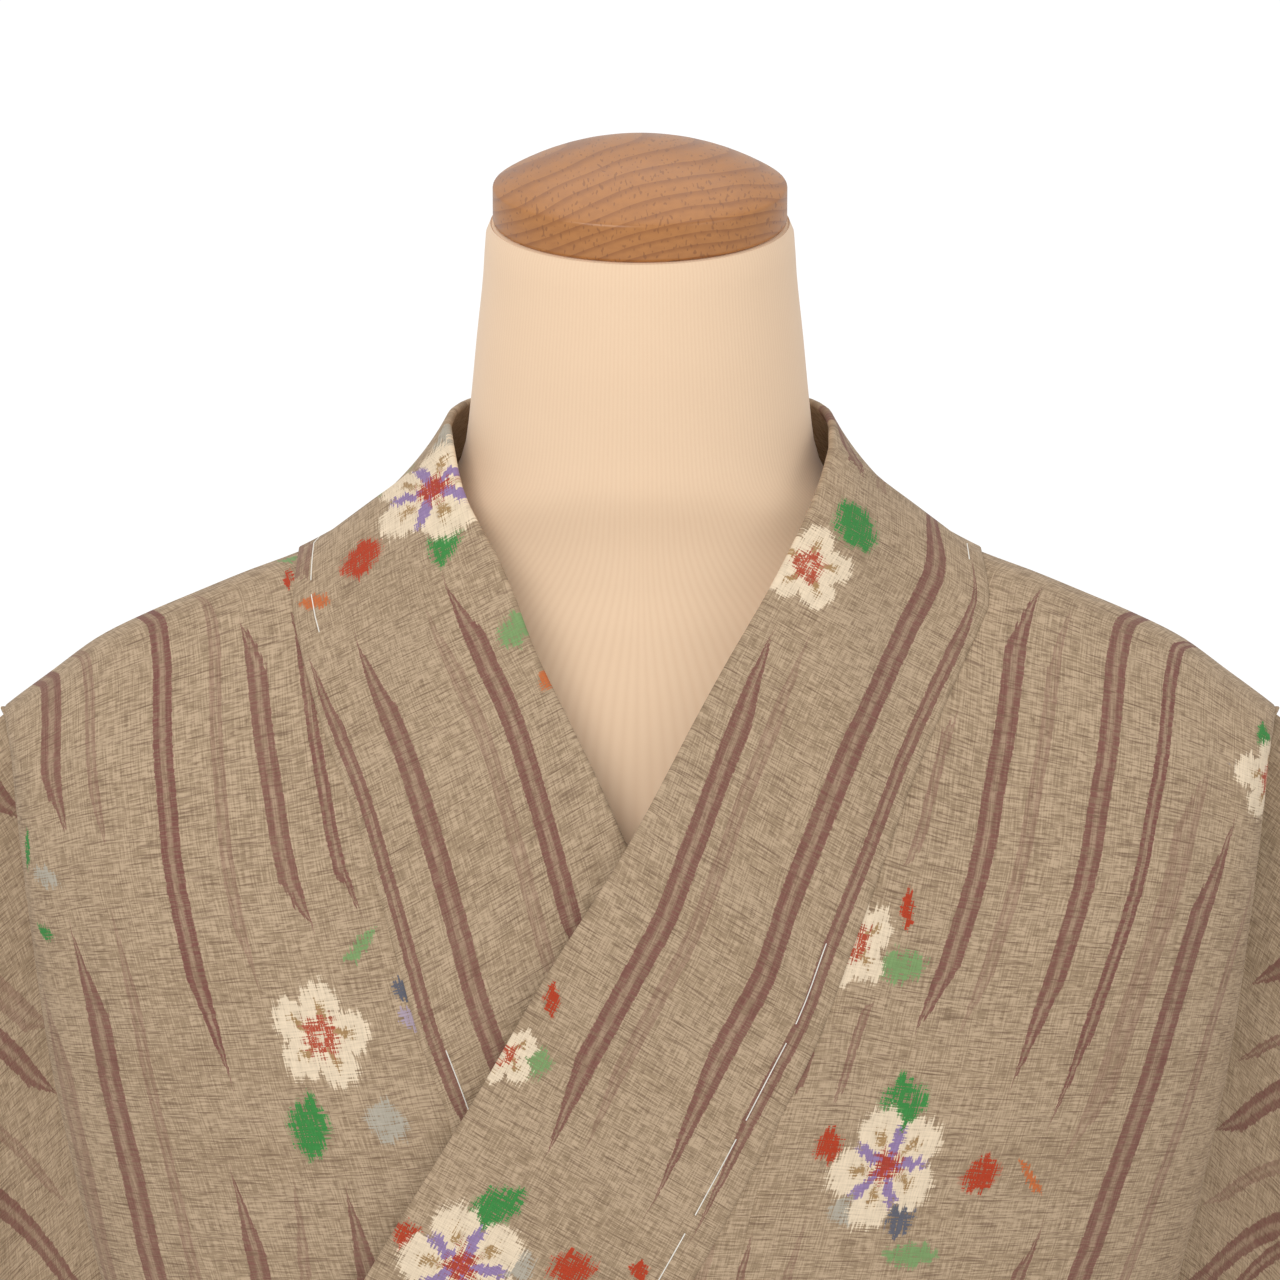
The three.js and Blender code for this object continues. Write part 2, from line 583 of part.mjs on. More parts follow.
// Soft folds down the sleeve: where each starts along the top, how wide it is and how far it stands to the front.
const SLEEVE_FOLDS = [
  { w: 84, width: 26, out: -17 },
  { w: 148, width: 28, out: 16 },
  { w: 214, width: 30, out: -15 },
  { w: 282, width: 28, out: 12 },
];
const SLEEVE_SPREAD = 9; // half the room between the sleeve's front and back

// A line of points that starts on the top fold, integrated in short steps.
function topPoint(w) {
  const point = { x: SLEEVE_START.x, z: SLEEVE_START.z };
  const count = 40;
  for (let i = 0; i < count; i++) {
    const slope = radians(topSlope(((i + 0.5) * w) / count));
    point.x += (cos(slope) * w) / count;
    point.z -= (sin(slope) * w) / count;
  }
  return point;
}
function fallingPoint(w, v) {
  const point = topPoint(w);
  const count = 30;
  for (let i = 0; i < count; i++) {
    const at = ((i + 0.5) * v) / count;
    const lean = radians(mix(fallLean(w), 89, smooth(0, FALL_LENGTH, at)));
    point.x -= (cos(lean) * v) / count;
    point.z -= (sin(lean) * v) / count;
  }
  return point;
}
function sleeveMiddle(w, v) {
  const own = fallingPoint(w, v);
  const beside = smooth(0, 110, w);
  const start = topPoint(w);
  const edge = { x: innerEdge.x(v) + start.x - SLEEVE_START.x, z: innerEdge.z(v) + start.z - SLEEVE_START.z };
  return { x: mix(edge.x, own.x, beside), z: mix(edge.z, own.z, beside) };
}
function sleeveFold(w, v) {
  let out = 0;
  for (const fold of SLEEVE_FOLDS) {
    const off = (w - fold.w) / fold.width;
    out += fold.out * exp(-off * off);
  }
  return out * smooth(20, 260, v);
}
// Half the room inside the sleeve: that of the armhole, then the sleeve's own, sewn shut below the cuff opening.
function sleeveRoom(w, v, length) {
  const armhole = max(3, section.seamDepth(innerEdge.z(v)) - 3.2);
  const free = v > ARMHOLE + 20 ? mix(armhole, 8, smooth(ARMHOLE + 20, ARMHOLE + 120, v)) : armhole;
  const open = mix(free, SLEEVE_SPREAD, smooth(0, 70, w));
  const shut = smooth(SLEEVE_WIDTH - 45, SLEEVE_WIDTH, w) * smooth(CUFF_OPENING, CUFF_OPENING + 40, v);
  const room = mix(open, 1.3, shut);
  const turn = 16;
  const ends = min(v, length - v);
  return room * sqrt(clamp01(1 - (1 - min(1, ends / turn)) ** 2));
}
const sleeveLength = (w) => {
  const past = max(0, w - (SLEEVE_WIDTH - CORNER_ROUND));
  return SLEEVE_DROP - CORNER_ROUND + sqrt(max(0, CORNER_ROUND ** 2 - past ** 2));
};
const SLEEVE_STATIONS = [0, 22, 48, 78, 108, 138, 168, 200, 232, 262, 290, 308, 320, 330];
const RING_SHARES = [0.006, 0.03, 0.08, 0.15, 0.23, 0.32, 0.41, 0.5, 0.6, 0.7, 0.8, 0.9, 0.97, 0.994];
function sleeve(half) {
  const toward = half === "left" ? 1 : -1;
  const point = (w, v, face) => {
    const length = sleeveLength(w);
    const at = sleeveMiddle(w, v);
    const y = CENTRE_Y + face * sleeveRoom(w, v, length) - sleeveFold(w, v);
    return new THREE.Vector3(toward * at.x, y, at.z + NECK_POINT);
  };
  const rows = SLEEVE_STATIONS.map((w) => {
    const length = sleeveLength(w);
    return [
      point(w, 0, 0),
      ...RING_SHARES.map((s) => point(w, s * length, -1)),
      point(w, length, 0),
      ...RING_SHARES.toReversed().map((s) => point(w, s * length, 1)),
    ];
  });
  return wall(rows, SLEEVE_WALL, { closed: true });
}

// A solid from a stack of closed rings, capped flat at both ends.
function stack(rings) {
  const m = rings[0].length;
  const points = rings.flat();
  const faces = [];
  for (let i = 0; i < rings.length - 1; i++)
    for (let j = 0; j < m; j++) {
      const [a, b] = [i * m + j, i * m + ((j + 1) % m)];
      faces.push(a, b, b + m, a, b + m, a + m);
    }
  const centre = (ring) => ring.reduce((sum, p) => sum.add(p), new THREE.Vector3()).divideScalar(m);
  points.push(centre(rings[0]), centre(rings[rings.length - 1]));
  const [low, high] = [points.length - 2, points.length - 1];
  const last = (rings.length - 1) * m;
  for (let j = 0; j < m; j++) {
    faces.push(low, (j + 1) % m, j);
    faces.push(high, last + j, last + ((j + 1) % m));
  }
  return geometryOf(points, faces);
}

function formRing(row) {
  const lean = radians(row.lean);
  return Array.from({ length: FORM_SIDES }, (_, i) => {
    const turn = (2 * PI * i) / FORM_SIDES;
    const [s, c] = [sin(turn), cos(turn)];
    const power = 2 / row.square;
    const x = row.half * sign(s) * abs(s) ** power;
    const deep = (c > 0 ? row.front : row.back) * sign(c) * abs(c) ** power;
    return new THREE.Vector3(x, row.y - deep * cos(lean), row.z + NECK_POINT - deep * sin(lean));
  });
}
function dressForm() {
  const floor = { ...FORM[FORM.length - 1], z: FORM_FLOOR, half: 150, front: 84, back: 94 };
  return stack([...FORM, floor].map(formRing));
}

// The turned wooden cap on the neck: a straight rim under a low dome, resting on the neck's leaning top.
function neckCap() {
  const profile = [new THREE.Vector2(0, 0), new THREE.Vector2(CAP_RADIUS - 1.2, 0)];
  profile.push(new THREE.Vector2(CAP_RADIUS, 1.2));
  const dome = (CAP_RADIUS ** 2 + CAP_DOME ** 2) / (2 * CAP_DOME);
  const height = (r) => CAP_RIM + CAP_DOME - dome + sqrt(dome ** 2 - r ** 2);
  profile.push(new THREE.Vector2(CAP_RADIUS, CAP_RIM - 1));
  profile.push(new THREE.Vector2(CAP_RADIUS - 0.3 * CAP_EDGE, CAP_RIM + 0.1 * CAP_EDGE));
  for (const r of [CAP_RADIUS - CAP_EDGE, 47, 38, 28, 18, 9, 0]) profile.push(new THREE.Vector2(r, height(r)));
  const cap = new THREE.LatheGeometry(profile, 40);
  cap.rotateX(PI / 2);
  return cap;
}

function plate(radius, height, sides) {
  const disc = new THREE.CylinderGeometry(radius, radius, height, sides);
  disc.rotateX(PI / 2);
  disc.translate(0, 0, height / 2);
  return disc;
}

const cloth = { color: 0xa39177, roughness: 0.92, metalness: 0, side: THREE.DoubleSide };
const jersey = { color: 0xf0d3b0, roughness: 0.85, metalness: 0 };
const beech = { color: 0xb97b41, roughness: 0.35, metalness: 0 };
const steel = { color: 0xd9d6cf, roughness: 0.4, metalness: 0.6 };

const kimono = new THREE.Group();
function add(name, geometry, finish, place = {}) {
  const mesh = new THREE.Mesh(geometry, new THREE.MeshStandardMaterial(finish));
  mesh.name = name;
  if (place.position) mesh.position.set(...place.position);
  if (place.lean) mesh.rotation.x = radians(place.lean);
  kimono.add(mesh);
}

add("body_left", bodyPanel("left"), cloth);
add("body_right", bodyPanel("right"), cloth);
add("overlap_left", overlapPanel("left"), cloth);
add("overlap_right", overlapPanel("right"), cloth);
add("collar", collar(), cloth);
add("sleeve_left", sleeve("left"), cloth);
add("sleeve_right", sleeve("right"), cloth);
add("form_trunk", dressForm(), jersey);
const top = FORM[0];
add("form_cap", neckCap(), beech, { position: [0, top.y, top.z + NECK_POINT + 0.05], lean: top.lean });
const poleTop = FORM_FLOOR + NECK_POINT;
add("form_pole", plate(POLE_RADIUS, poleTop - BASE_HEIGHT, 24), steel, { position: [0, 0, BASE_HEIGHT] });
add("form_base", plate(BASE_RADIUS, BASE_HEIGHT, 48), beech, { position: [0, 0, 0] });

export default kimono;
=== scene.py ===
import math

import bpy
from bpy.props import FloatProperty, FloatVectorProperty, IntProperty, PointerProperty
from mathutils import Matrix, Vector, noise


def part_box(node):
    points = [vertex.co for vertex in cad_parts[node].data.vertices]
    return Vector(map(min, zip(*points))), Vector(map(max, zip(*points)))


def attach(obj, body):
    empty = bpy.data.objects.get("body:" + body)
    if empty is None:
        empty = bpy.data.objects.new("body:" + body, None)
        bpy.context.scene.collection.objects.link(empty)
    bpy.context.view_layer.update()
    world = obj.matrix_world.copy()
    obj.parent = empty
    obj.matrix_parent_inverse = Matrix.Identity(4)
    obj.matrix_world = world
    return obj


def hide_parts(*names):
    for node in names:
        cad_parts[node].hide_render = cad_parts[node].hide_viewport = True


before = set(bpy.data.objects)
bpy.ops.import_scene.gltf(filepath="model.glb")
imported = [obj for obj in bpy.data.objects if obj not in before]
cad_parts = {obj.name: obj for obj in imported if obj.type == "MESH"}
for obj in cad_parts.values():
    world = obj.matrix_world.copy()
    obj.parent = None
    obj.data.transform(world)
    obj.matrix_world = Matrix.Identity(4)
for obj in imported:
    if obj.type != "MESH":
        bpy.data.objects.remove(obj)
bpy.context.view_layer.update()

bl_info = {
    "name": "Kimono on dress form",
    "version": (1, 0, 0),
    "blender": (4, 5, 0),
    "location": "View3D > Sidebar > Kimono",
    "description": "Dresses the packed kimono and its stand with fine cloth, woven patterns and stitches",
    "category": "Object",
}

MM = 0.001
TO_MM = 1000

# The garment's own sizes in millimetres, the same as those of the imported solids. In the tables a drop is
# a height counted from the side of the neck, and minus is below it.
NECK_POINT = 1545
HEM_DROP = 1517
LAP_LIFT = 7.2
LAP_REACH = 22
LAP_FALL = 30
CENTRE_Y = 5
SLEEVE_WIDTH = 330
SLEEVE_DROP = 490
ARMHOLE = 230
CUFF_OPENING = 230
CORNER_ROUND = 24
COLLAR_END = -740
SEAM_GAP = 0.5

# Shoulder line of the cloth, seen from the front: distance from the middle, drop.
SHOULDER = [
    (0, 10), (40, 8), (65, 0), (79, -9), (86, -18), (94, -28.5), (103, -38), (114, -47), (125, -55),
    (133, -60), (142, -63.5), (153, -67.5), (175, -76.5), (195, -85), (213, -94), (231, -107), (251, -122),
    (280, -148),
]
# Level sections of the body: drop, widest point, its depth, armhole seam, its depth, front depth,
# back depth, squareness.
SECTIONS = [
    (-60, 251, 0.2, 252, 0.1, 114, 110, 2.5),
    (-121, 250, 0.5, 252, 0.3, 123, 116, 2.5),
    (-124, 249, 8, 250, 6.5, 123, 116, 2.5),
    (-129, 248, 13, 247, 10, 124, 117, 2.5),
    (-137, 246, 19, 242, 13, 125, 118, 2.5),
    (-160, 243, 27, 229, 17, 127, 119, 2.5),
    (-200, 238, 32, 213, 19, 128, 118, 2.5),
    (-250, 231, 34, 204, 20, 126, 114, 2.5),
    (-300, 221, 34, 194, 20, 122, 109, 2.45),
    (-350, 209, 31, 184, 20, 118, 104, 2.4),
    (-400, 196, 22, 184, 14, 114, 102, 2.3),
    (-450, 187, 10, 183, 8, 112, 102, 2.2),
    (-500, 182, 6, 180, 5, 111, 105, 2.15),
    (-600, 181, 4, 179, 3.5, 113, 114, 2.1),
    (-760, 180, 0, 179, 0, 114, 117, 2.1),
    (-1100, 176, 0, 175, 0, 112, 113, 2.1),
    (-1517, 171, 0, 170, 0, 109, 108, 2.1),
]
# Seams and edges of the fronts: drop, distance from the middle towards the wearer's left.
COLLAR_SEAM = {
    "left": [
        (-58, 133), (-76, 135), (-92, 127), (-115, 115), (-140, 103), (-168, 92), (-197, 81), (-229, 69),
        (-260, 54), (-301, 33), (-347, 8), (-400, -20), (-450, -43), (-500, -64), (-600, -100),
        (-740, -132),
    ],
    "right": [
        (-58, -133), (-76, -134), (-98, -129), (-126, -119), (-146, -110), (-185, -97), (-209, -90),
        (-234, -83), (-256, -75), (-281, -66), (-340, -43), (-420, -13), (-500, 19), (-600, 58),
        (-740, 104),
    ],
}
COLLAR_FOLD = {
    "left": [
        (-14, 76), (-32, 70), (-60, 56), (-100, 32), (-132, 14), (-166, -5), (-210, -33), (-260, -62),
        (-325, -101), (-347, -113), (-400, -137), (-450, -151), (-500, -161), (-600, -171), (-740, -177),
    ],
    "right": [
        (-16, -74), (-32, -70), (-65, -52), (-90, -42), (-120, -27), (-140, -17), (-166, -5), (-210, 18),
        (-260, 41), (-347, 80), (-450, 109), (-550, 128), (-740, 152),
    ],
}
OVERLAP_EDGE = {
    "left": [(-740, -132), (-1100, -130), (-1517, -126)],
    "right": [(-740, 104), (-1100, 104), (-1517, 100)],
}
OVERLAP_SEAM = {
    "left": [
        (-260, 54), (-301, 42), (-347, 32), (-450, 12), (-550, 0), (-700, -6), (-900, -8), (-1517, -8),
    ],
    "right": [(-260, -73.6), (-300, -66), (-347, -57), (-450, -44), (-600, -30), (-900, -18), (-1517, -14)],
}
# Collar behind the shoulder line: the fold's distance, depth and drop, the seam's distance and drop, and
# how far the band rounds out between them.
COLLAR_BACK = [
    (75.5, -4, -10, 133, -60, -7), (74, 22, -6, 131, -63, -6.5), (67, 50, -3, 118, -66, -4),
    (52, 74, -1, 88, -69, 0), (28, 90, -2, 46, -71, 3), (0, 95, -3, 0, -72, 3),
]
# Rise of the fold above the seam straight across the collar, by the seam's drop.
FOLD_RISE = [
    (-740, 0), (-600, 8), (-450, 34), (-347, 50), (-260, 52), (-200, 48), (-150, 41), (-100, 38), (-58, 45),
]
# Soft folds of the skirt: turn from the middle of the front in degrees, width in degrees, height.
SKIRT_FOLDS = [(104, 13, 7), (136, 11, 5), (163, 12, 6), (200, 13, 6.5), (232, 11, 5.5), (258, 12, 7)]
# Sleeve: slope of the top fold and fall of the cloth's own lines, by distance along the fold.
TOP_SLOPE = [(0, 38), (90, 45), (200, 54), (330, 64)]
FALL = [(0, 80), (60, 56), (150, 62), (330, 76)]
# Length down the sleeve over which its cloth comes to hang straight.
FALL_LENGTH = 230
# Place of the sleeve's top inner corner: distance from the middle, drop.
SLEEVE_START = (248.5, -123)
# Free inner edge of the sleeve: distance down the edge, distance from the middle, drop.
INNER_EDGE = [
    (0, 248.5, -123), (14, 241, -137), (38, 229, -158), (82, 213, -199), (132, 204, -249),
    (182, 194.5, -298), (232, 186, -347), (285, 192, -400), (340, 200, -455), (420, 204, -534),
    (490, 205, -604),
]
# Folds down the sleeve: place along the top, width, how far to the front.
SLEEVE_FOLDS = [(84, 26, -17), (148, 28, 16), (214, 30, -15), (282, 28, 12)]
# Half depth of the hanging sleeve.
SLEEVE_SPREAD = 9
# Half depths of the sleeve: least at the armhole, how far inside its seam, free below it, and sewn shut.
LEAST_ROOM, SEAM_ROOM, FREE_ROOM, SHUT_ROOM = 3.0, 3.2, 8, 1.3
# Lengths over which the sleeve takes its own fall, leaves the armhole's depth and rounds at its ends.
OWN_FALL, OWN_DEPTH, END_ROUND = 110, 70, 16
# Dress form's level sections: drop, the middle's depth, half width, front depth, back depth, squareness,
# forward lean in degrees.
FORM = [
    (70, -6, 58.5, 58.5, 58.5, 2, 15), (66, -5.5, 60.2, 60, 60, 2, 14.8), (50, -4, 61.3, 60, 60, 2, 13),
    (25, -1, 64, 60, 61, 2, 10), (0, 3, 66.5, 60, 62, 2, 6), (-16, 5, 68.5, 60, 64, 2, 4),
    (-30, 6, 74, 60.5, 67, 1.95, 2), (-44, 6, 93, 58, 68, 1.8, 0), (-58, 6, 121, 56, 72, 1.65, 0),
    (-70, 5, 155, 56, 76, 1.6, 0), (-82, 5, 183, 60, 80, 1.65, 0), (-95, 5, 197, 65, 85, 1.75, 0),
    (-112, 5, 203, 74, 90, 1.9, 0), (-134, 5, 200, 85, 95, 2.05, 0), (-165, 5, 191, 98, 99, 2.2, 0),
    (-205, 5, 177, 108, 99, 2.2, 0), (-250, 5, 163, 109, 95, 2.2, 0), (-310, 4, 152, 100, 88, 2.1, 0),
    (-370, 3, 136, 88, 82, 2, 0), (-420, 2, 128, 82, 81, 2, 0), (-480, 3, 139, 87, 89, 2, 0),
    (-560, 4, 160, 95, 103, 2, 0), (-630, 4, 167, 97, 108, 2, 0), (-690, 4, 165, 95, 106, 2, 0),
    (-712, 4, 158, 90, 100, 2, 0), (-716, 4, 150, 84, 94, 2, 0),
]

# The photograph's frame: millimetres across at the neck, the drop of its middle, the eye's distance, and
# the eye's height in degrees.
VIEW_WIDTH = 504.0
VIEW_DROP = -94.5
VIEW_DISTANCE = 2550.0
VIEW_HEIGHT_ANGLE = 5.0

# Creases of the fronts, placed where the front view shows them: points as distance right of the
# middle and drop, then half width and height (minus is a trough).
CREASES = [
    ([(140, -62), (137, -72), (135, -86), (129, -106), (121, -128), (112, -152), (103, -186)], 3.4, -1.9),
    ([(146, -64), (142, -90), (134, -118), (124, -150), (112, -196)], 6, 1.3),
    ([(196, -92), (190, -170), (176, -270)], 18, 1.5),
    ([(232, -118), (226, -180), (208, -290)], 8, -1.5),
    ([(-148, -70), (-143, -100), (-131, -160), (-116, -215)], 6, 1.2),
    ([(-139, -72), (-134, -96), (-124, -138), (-112, -180)], 3.6, -1.3),
    ([(-205, -95), (-196, -200), (-176, -300)], 18, 1.5),
    ([(-232, -120), (-226, -190), (-205, -330)], 9, -1.4),
    ([(-120, -230), (-108, -290), (-92, -350)], 12, -0.9),
    ([(152, -240), (138, -310), (118, -420)], 16, 1.4),
    ([(98, -300), (84, -360), (60, -470)], 12, -1.1),
    ([(30, -180), (2, -240), (-34, -300)], 7, -0.7),
    ([(-60, -190), (-44, -240), (-30, -276)], 8, -0.7),
]


# Smooth tables.
def through(rows, key=0, column=1):
    pairs = sorted((row[key], row[column]) for row in rows)
    keys = [p[0] for p in pairs]
    values = [p[1] for p in pairs]
    rise = [(values[i + 1] - values[i]) / (keys[i + 1] - keys[i]) for i in range(len(keys) - 1)]
    slopes = [rise[0]]
    for before, after in zip(rise, rise[1:]):
        slopes.append(0 if before * after <= 0 else 2 * before * after / (before + after))
    slopes.append(rise[-1])

    def read(at):
        if at <= keys[0]:
            return values[0]
        if at >= keys[-1]:
            return values[-1]
        i = 0
        while keys[i + 1] < at:
            i += 1
        span = keys[i + 1] - keys[i]
        t = (at - keys[i]) / span
        keep = (1 + 2 * t) * (1 - t) ** 2 * values[i] + t * t * (3 - 2 * t) * values[i + 1]
        return keep + t * (1 - t) * span * ((1 - t) * slopes[i] - t * slopes[i + 1])

    return read


def mix(a, b, t):
    return a + (b - a) * t


def smooth(start, end, t):
    s = min(1.0, max(0.0, (t - start) / (end - start)))
    return s * s * (3 - 2 * s)


def soft_min(a, b):
    return 0.0 if a <= 0 or b <= 0 else (a**-4 + b**-4) ** -0.25


def sign(v):
    return (v > 0) - (v < 0)


shoulder_at = through(SHOULDER)
edge_at, edge_depth, seam_at, seam_depth, front_at, back_at, square_at = (
    through(SECTIONS, 0, column) for column in range(1, 8)
)
section_depth = {"front": front_at, "back": back_at}
collar_seam = {half: through(rows) for half, rows in COLLAR_SEAM.items()}
collar_fold = {half: through(rows) for half, rows in COLLAR_FOLD.items()}
overlap_edge = {half: through(rows) for half, rows in OVERLAP_EDGE.items()}
overlap_seam = {half: through(rows) for half, rows in OVERLAP_SEAM.items()}
fold_rise = through(FOLD_RISE)
# Arch of the cloth over the shoulder: radius, and slope further down.
ARCH = {"front": (30, 0.62), "back": (46, 0.8)}
# Rows follow the shoulder line at the top and are level further down: their level and how soon.
ROW_LEVEL = -85
ROW_FADE = 90
# Rows of the overlap panels' tips, of the neck's sides and of the waist.
TIP_ROW = 186
NECK_ROW = 44.5
WAIST_ROW = 505
# Share of the columns before the cloth turns in to the armhole, and places of the seams round the skirt,
# in degrees.
MAIN_SHARE = 0.75
SIDE_SEAM = {"front": 68.88, "back": 69.12}
CENTRE_BACK = 179.84
# Levels between which the hanging fronts pass into the round skirt, and between which its folds grow, and
# the skirt's mean radius.
SKIRT_LEVELS = (-590, -440)
FOLD_LEVELS = (-1350, -620)
SKIRT_RADIUS = 145
# Slow unevenness of the cloth: width, length, and how much finer and lower its second layer is.
RIPPLE_WIDTH, RIPPLE_LENGTH = 62, 95
FINER, LOWER = 2.6, 0.45
# How many half widths a crease reaches.
CREASE_REACH = 3
# Steps of the search for a line's place, and of the walks along the sleeve's top and down its cloth.
HALVINGS = 40
TOP_STEPS = 40
FALL_STEPS = 30
# Columns and rows of the cloth grids.
BODY_COLUMNS = 44
OVERLAP_COLUMNS = 18
COLLAR_COLUMNS = 20
SLEEVE_COLUMNS = 52
SLEEVE_ROWS = 60
SHOULDER_ROWS, CHEST_ROWS, WAIST_ROWS, SKIRT_ROWS = 10, 24, 44, 34
# Width of the body's cloth, in metres.
BODY_CLOTH_WIDTH = 0.31


def arch_depth(side, below):
    radius, slope = ARCH[side]
    return 0.0 if below <= 0 else math.sqrt(2 * radius * below + (slope * below) ** 2)


def depth_at(side, x, z):
    across = max(0.0, 1 - (abs(x) / edge_at(z)) ** square_at(z))
    edge = edge_depth(z)
    full = edge + (section_depth[side](z) - edge) * math.sqrt(across)
    return soft_min(arch_depth(side, shoulder_at(abs(x)) - z), full)


def seen(point):
    """Where a point shows in the front view, at the scale of the neck: distance right and drop."""
    tilt = math.radians(VIEW_HEIGHT_ANGLE)
    rise = point.z - VIEW_DROP
    scale = VIEW_DISTANCE / (VIEW_DISTANCE + point.y * math.cos(tilt) - rise * math.sin(tilt))
    return Vector((point.x * scale, VIEW_DROP + (point.y * math.sin(tilt) + rise * math.cos(tilt)) * scale))


def crease_height(point):
    at = seen(point)
    out = 0.0
    for path, width, height in CREASES:
        nearest, share = CREASE_REACH, 0.0
        for k, (start, end) in enumerate(zip(path, path[1:])):
            line = Vector(end) - Vector(start)
            t = min(1.0, max(0.0, (at - Vector(start)).dot(line) / line.length_squared))
            off = (at - Vector(start) - line * t).length / width
            if off < nearest:
                nearest, share = off, (k + t) / (len(path) - 1)
        if nearest < CREASE_REACH:
            out += height * math.exp(-nearest * nearest) * smooth(0, 0.12, share) * (
                1 - smooth(0.6, 1, share)
            )
    return out


def ripple(x, y, z, height):
    at = Vector((x / RIPPLE_WIDTH, y / RIPPLE_WIDTH, z / RIPPLE_LENGTH))
    return height * (noise.noise(at) + LOWER * noise.noise(at * FINER))


def skirt_fold(turn, z):
    full = 1 - smooth(*FOLD_LEVELS, z)
    out = 0.0
    for centre, width, height in SKIRT_FOLDS:
        off = (((turn - centre + 540) % 360) - 180) / width
        out += height * math.exp(-off * off)
    return out * full


def lap_lift(x, z):
    return LAP_LIFT * smooth(0, 1, (collar_fold["right"](z) + LAP_REACH + LAP_FALL - x) / LAP_FALL)


def front_point(half, x, z):
    lift = lap_lift(x, z) if half == "left" else 0.0
    below = shoulder_at(abs(x)) - z
    plain = Vector((x, CENTRE_Y - depth_at("front", x, z) - lift, min(z, shoulder_at(abs(x)))))
    if below > 2:
        plain.y -= (crease_height(plain) + ripple(x, 0, z, 0.9)) * smooth(2, 30, below)
    return plain


def back_point(x, z):
    below = shoulder_at(abs(x)) - z
    return Vector((x, CENTRE_Y + depth_at("back", x, z) + ripple(x, 300, z, 1.6) * smooth(2, 60, below), z))


def row_height(x, below):
    return ROW_LEVEL - below + (shoulder_at(abs(x)) - ROW_LEVEL) * math.exp(-below / ROW_FADE)


def meet(line, below, low=-200.0, high=200.0):
    for _ in range(HALVINGS):
        x = (low + high) / 2
        if line(row_height(x, below)) > x:
            low = x
        else:
            high = x
    return (low + high) / 2


def around_point(half, turn, z):
    square = square_at(z)
    s, c = math.sin(math.radians(turn)), math.cos(math.radians(turn))
    flat = edge_at(z) * sign(s) * abs(s) ** (2 / square)
    lift = lap_lift(flat, z) * smooth(0, 0.35, c) if half == "left" else 0.0
    lift += ripple(flat, 300 * s, z, 1.4)
    out = 1 + (skirt_fold((turn + 360) % 360, z) + lift) / SKIRT_RADIUS
    deep = (front_at(z) if c > 0 else back_at(z)) * abs(c)
    return Vector((flat * out, CENTRE_Y - sign(c) * deep * out, z))


def turn_of(x, z):
    share = min(1.0, abs(x) / edge_at(z))
    return math.degrees(sign(x) * math.asin(share ** (square_at(z) / 2)))


def lower_front(half, x, turn, z):
    low = 1 - smooth(*SKIRT_LEVELS, z)
    upper = front_point(half, x, z)
    return upper if low == 0 else upper.lerp(around_point(half, turn, z), low)


def tuck_point(side, toward, t, below):
    z = row_height(edge_at(ROW_LEVEL - below), below)
    edge, seam = edge_at(z), seam_at(z)
    arch = arch_depth(side, shoulder_at(edge) - z)
    out_depth, in_depth = soft_min(arch, edge_depth(z)), soft_min(arch, seam_depth(z))
    bend_x, bend_depth = mix(edge, seam, 0.5), mix(in_depth, out_depth, 0.45)
    u = 1 - t
    x = u**3 * edge + 3 * u * u * t * edge + 3 * u * t * t * bend_x + t**3 * seam
    depth = u**3 * out_depth + 3 * u * u * t * bend_depth + 3 * u * t * t * in_depth + t**3 * in_depth
    return Vector((toward * x, CENTRE_Y + (-depth if side == "front" else depth), z))


def toward_side(half, by):
    return by if half == "left" else -by


def front_inner(half, below):
    line = collar_seam[half] if below < TIP_ROW else overlap_seam[half]
    return meet(lambda z: line(z) + toward_side(half, SEAM_GAP), below)


back_neck = through(COLLAR_BACK, 4, 3)


def back_inner(half, below):
    x = 0.0 if below >= NECK_ROW else meet(lambda z: back_neck(max(-72, min(z, -60))), below, 0, 140)
    return toward_side(half, x + SEAM_GAP)


def panel_point(half, side, a, below):
    toward = 1 if half == "left" else -1
    level = ROW_LEVEL - below
    inner = front_inner(half, below) if side == "front" else back_inner(half, below)
    low = 1 - smooth(*SKIRT_LEVELS, level)
    if low < 1:
        if a > MAIN_SHARE:
            upper = tuck_point(side, toward, (a - MAIN_SHARE) / (1 - MAIN_SHARE), below)
        else:
            edge = edge_at(row_height(edge_at(level), below))
            square = square_at(level)
            start = math.asin(min(1.0, abs(inner) / edge) ** (square / 2)) * sign(inner) * toward
            turn = mix(start, math.pi / 2, a / MAIN_SHARE)
            x = toward * edge * sign(turn) * abs(math.sin(turn)) ** (2 / square)
            z = row_height(x, below)
            upper = front_point(half, x, z) if side == "front" else back_point(x, z)
        if low == 0:
            return upper
    start = turn_of(inner, level) if side == "front" else CENTRE_BACK * toward
    around = around_point(half, mix(start, SIDE_SEAM[side] * toward, a), level)
    return around if low == 1 else upper.lerp(around, low)


# Meshes.
def finish_mesh(name, points, faces, material, uv=None, sharp=None):
    """A smooth mesh object, from points in millimetres whose height is counted from the neck point."""
    mesh = bpy.data.meshes.new(name)
    mesh.from_pydata([(p.x * MM, p.y * MM, (p.z + NECK_POINT) * MM) for p in points], [], faces)
    mesh.polygons.foreach_set("use_smooth", [True] * len(mesh.polygons))
    if uv:
        layer = mesh.uv_layers.new(name="UVMap")
        for loop in mesh.loops:
            layer.data[loop.index].uv = uv[loop.vertex_index]
    if sharp:
        mesh.set_sharp_from_angle(angle=math.radians(sharp))
    mesh.materials.append(material)
    mesh.validate()
    made = bpy.data.objects.new(name, mesh)
    bpy.context.scene.collection.objects.link(made)
    return made


